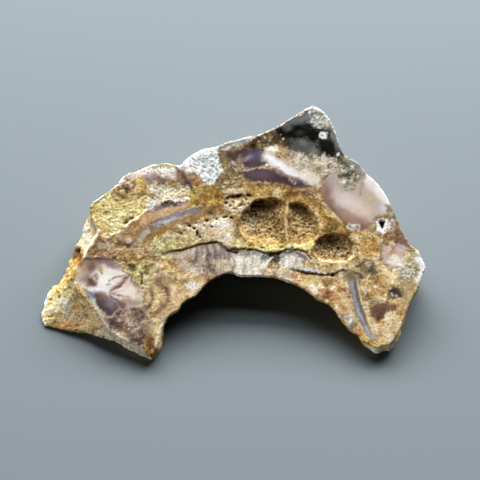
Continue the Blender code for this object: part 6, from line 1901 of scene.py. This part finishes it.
def dress(stone):
    """Paints and carves every point of the stone."""
    mesh = stone.data
    points = read_points(mesh.vertices, "co")
    normals = read_points(mesh.vertices, "normal")
    s = Surface(points, normals)
    paint_stone(s)
    mesh.vertices.foreach_set("co", carved(s, points, normals).astype(np.float32).ravel())
    paint = mesh.attributes.new("paint", "FLOAT_COLOR", "POINT")
    colour = np.ones((s.count, 4), np.float32)
    colour[:, :3] = np.clip(s.colour * WHITEST, 0.0, 1.0)
    paint.data.foreach_set("color", colour.ravel())
    gloss = mesh.attributes.new("gloss", "FLOAT", "POINT")
    gloss.data.foreach_set("value", np.clip(s.polish, 0.0, 1.0).astype(np.float32))
    mesh.shade_smooth()
    mesh.update()


def settle(stone):
    """Moves the stone's box onto the solid's, and returns by how much."""
    low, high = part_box(NODE)
    corners = [vertex.co for vertex in stone.data.vertices]
    least = Vector([min(corner[axis] for corner in corners) for axis in range(3)])
    most = Vector([max(corner[axis] for corner in corners) for axis in range(3)])
    shift = (low + high - least - most) / 2
    shift.z = low.z - least.z
    stone.data.transform(Matrix.Translation(shift))
    return shift


# Materials

def attribute(tree, name):
    """A node that reads what was painted on the points under this name."""
    node = tree.nodes.new("ShaderNodeAttribute")
    node.attribute_name = name
    return node


def remapped(tree, value, to, span=(0.0, 1.0)):
    """A value that runs over span, turned to run over to."""
    node = tree.nodes.new("ShaderNodeMapRange")
    for socket, number in zip(("From Min", "From Max", "To Min", "To Max"), (*span, *to)):
        node.inputs[socket].default_value = number
    tree.links.new(value, node.inputs["Value"])
    return node.outputs["Result"]


def fine_grain(tree):
    """Noise that is finer than the mesh."""
    node = tree.nodes.new("ShaderNodeTexNoise")
    for socket, number in GRAIN.items():
        node.inputs[socket].default_value = number
    place = tree.nodes.new("ShaderNodeTexCoord")
    tree.links.new(place.outputs["Object"], node.inputs["Vector"])
    return node.outputs["Fac"]


def grained(tree, colour, grain, gloss):
    """A colour with the grain's contrast in it, which polish takes away."""
    calm = tree.nodes.new("ShaderNodeMix")
    tree.links.new(gloss, calm.inputs["Factor"])
    tree.links.new(remapped(tree, grain, GRAIN_LIGHT, GRAIN_SPAN), calm.inputs["A"])
    calm.inputs["B"].default_value = 1.0
    tint = tree.nodes.new("ShaderNodeVectorMath")
    tint.operation = "SCALE"
    tree.links.new(colour, tint.inputs[0])
    tree.links.new(calm.outputs["Result"], tint.inputs["Scale"])
    return tint.outputs["Vector"]


def bumped(tree, grain, gloss):
    """Normals with the grain's relief in them, which polish takes away."""
    height = tree.nodes.new("ShaderNodeMath")
    height.operation = "MULTIPLY"
    tree.links.new(grain, height.inputs[0])
    tree.links.new(remapped(tree, gloss, GRAIN_HEIGHT), height.inputs[1])
    bump = tree.nodes.new("ShaderNodeBump")
    bump.inputs["Strength"].default_value = BUMP_STRENGTH
    bump.inputs["Distance"].default_value = BUMP_DISTANCE
    tree.links.new(height.outputs["Value"], bump.inputs["Height"])
    return bump.outputs["Normal"]


def stone_material():
    """The painted colour and polish, with grain that is finer than the mesh."""
    material = bpy.data.materials.new("Chalcedony")
    material.use_nodes = True
    tree = material.node_tree
    shader = tree.nodes["Principled BSDF"]
    shader.inputs["IOR"].default_value = STONE_IOR
    shader.inputs["Specular IOR Level"].default_value = STONE_SPECULAR
    paint = attribute(tree, "paint").outputs["Color"]
    gloss = attribute(tree, "gloss").outputs["Fac"]
    grain = fine_grain(tree)
    tree.links.new(grained(tree, paint, grain, gloss), shader.inputs["Base Color"])
    tree.links.new(remapped(tree, gloss, STONE_ROUGHNESS), shader.inputs["Roughness"])
    tree.links.new(bumped(tree, grain, gloss), shader.inputs["Normal"])
    return material


def floor_material():
    """Plain grey paper."""
    material = bpy.data.materials.new("Paper")
    material.use_nodes = True
    shader = material.node_tree.nodes["Principled BSDF"]
    shader.inputs["Base Color"].default_value = (*linear(FLOOR_GREY), 1.0)
    shader.inputs["Roughness"].default_value = FLOOR_ROUGHNESS
    return material


# The studio

def lay_floor():
    """A level sheet of paper under the stone."""
    mesh = bmesh.new()
    bmesh.ops.create_grid(mesh, x_segments=1, y_segments=1, size=FLOOR_REACH)
    floor = mesh_object("floor", mesh)
    floor.data.materials.append(floor_material())


def set_camera(shift):
    """The photograph's camera, moved as the stone was."""
    data = bpy.data.cameras.new("camera")
    camera = bpy.data.objects.new("camera", data)
    bpy.context.scene.collection.objects.link(camera)
    data.sensor_width = SENSOR_MM
    data.lens = FOCAL_PIXELS / FRAME_PIXELS * SENSOR_MM
    data.clip_start = 0.01
    camera.location = EYE + shift
    camera.rotation_euler = (math.pi / 2 - VIEW_ELEVATION, 0.0, 0.0)
    bpy.context.scene.camera = camera


def add_light(name, place, width, height, watts, tint):
    """A soft box that faces the stone."""
    data = bpy.data.lights.new(name, "AREA")
    data.shape = "RECTANGLE"
    data.size = width
    data.size_y = height
    data.energy = watts
    data.color = tint
    lamp = bpy.data.objects.new(name, data)
    lamp.location = place
    lamp.rotation_euler = Vector(place).to_track_quat("Z", "Y").to_euler()
    bpy.context.scene.collection.objects.link(lamp)


def light_studio():
    """The four soft boxes and a faint sky."""
    for lamp in LAMPS:
        add_light(*lamp)
    world = bpy.data.worlds.new("studio")
    world.use_nodes = True
    sky = world.node_tree.nodes["Background"]
    sky.inputs["Color"].default_value = (*SKY_TINT, 1.0)
    sky.inputs["Strength"].default_value = SKY_STRENGTH
    bpy.context.scene.world = world
    bpy.context.scene.view_settings.view_transform = "Standard"


stone = shape_stone()
dress(stone)
moved = settle(stone)
stone.name = "chalcedony_stone"
stone.data.materials.append(stone_material())
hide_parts(NODE)
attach(stone, "root")
lay_floor()
set_camera(moved)
light_studio()
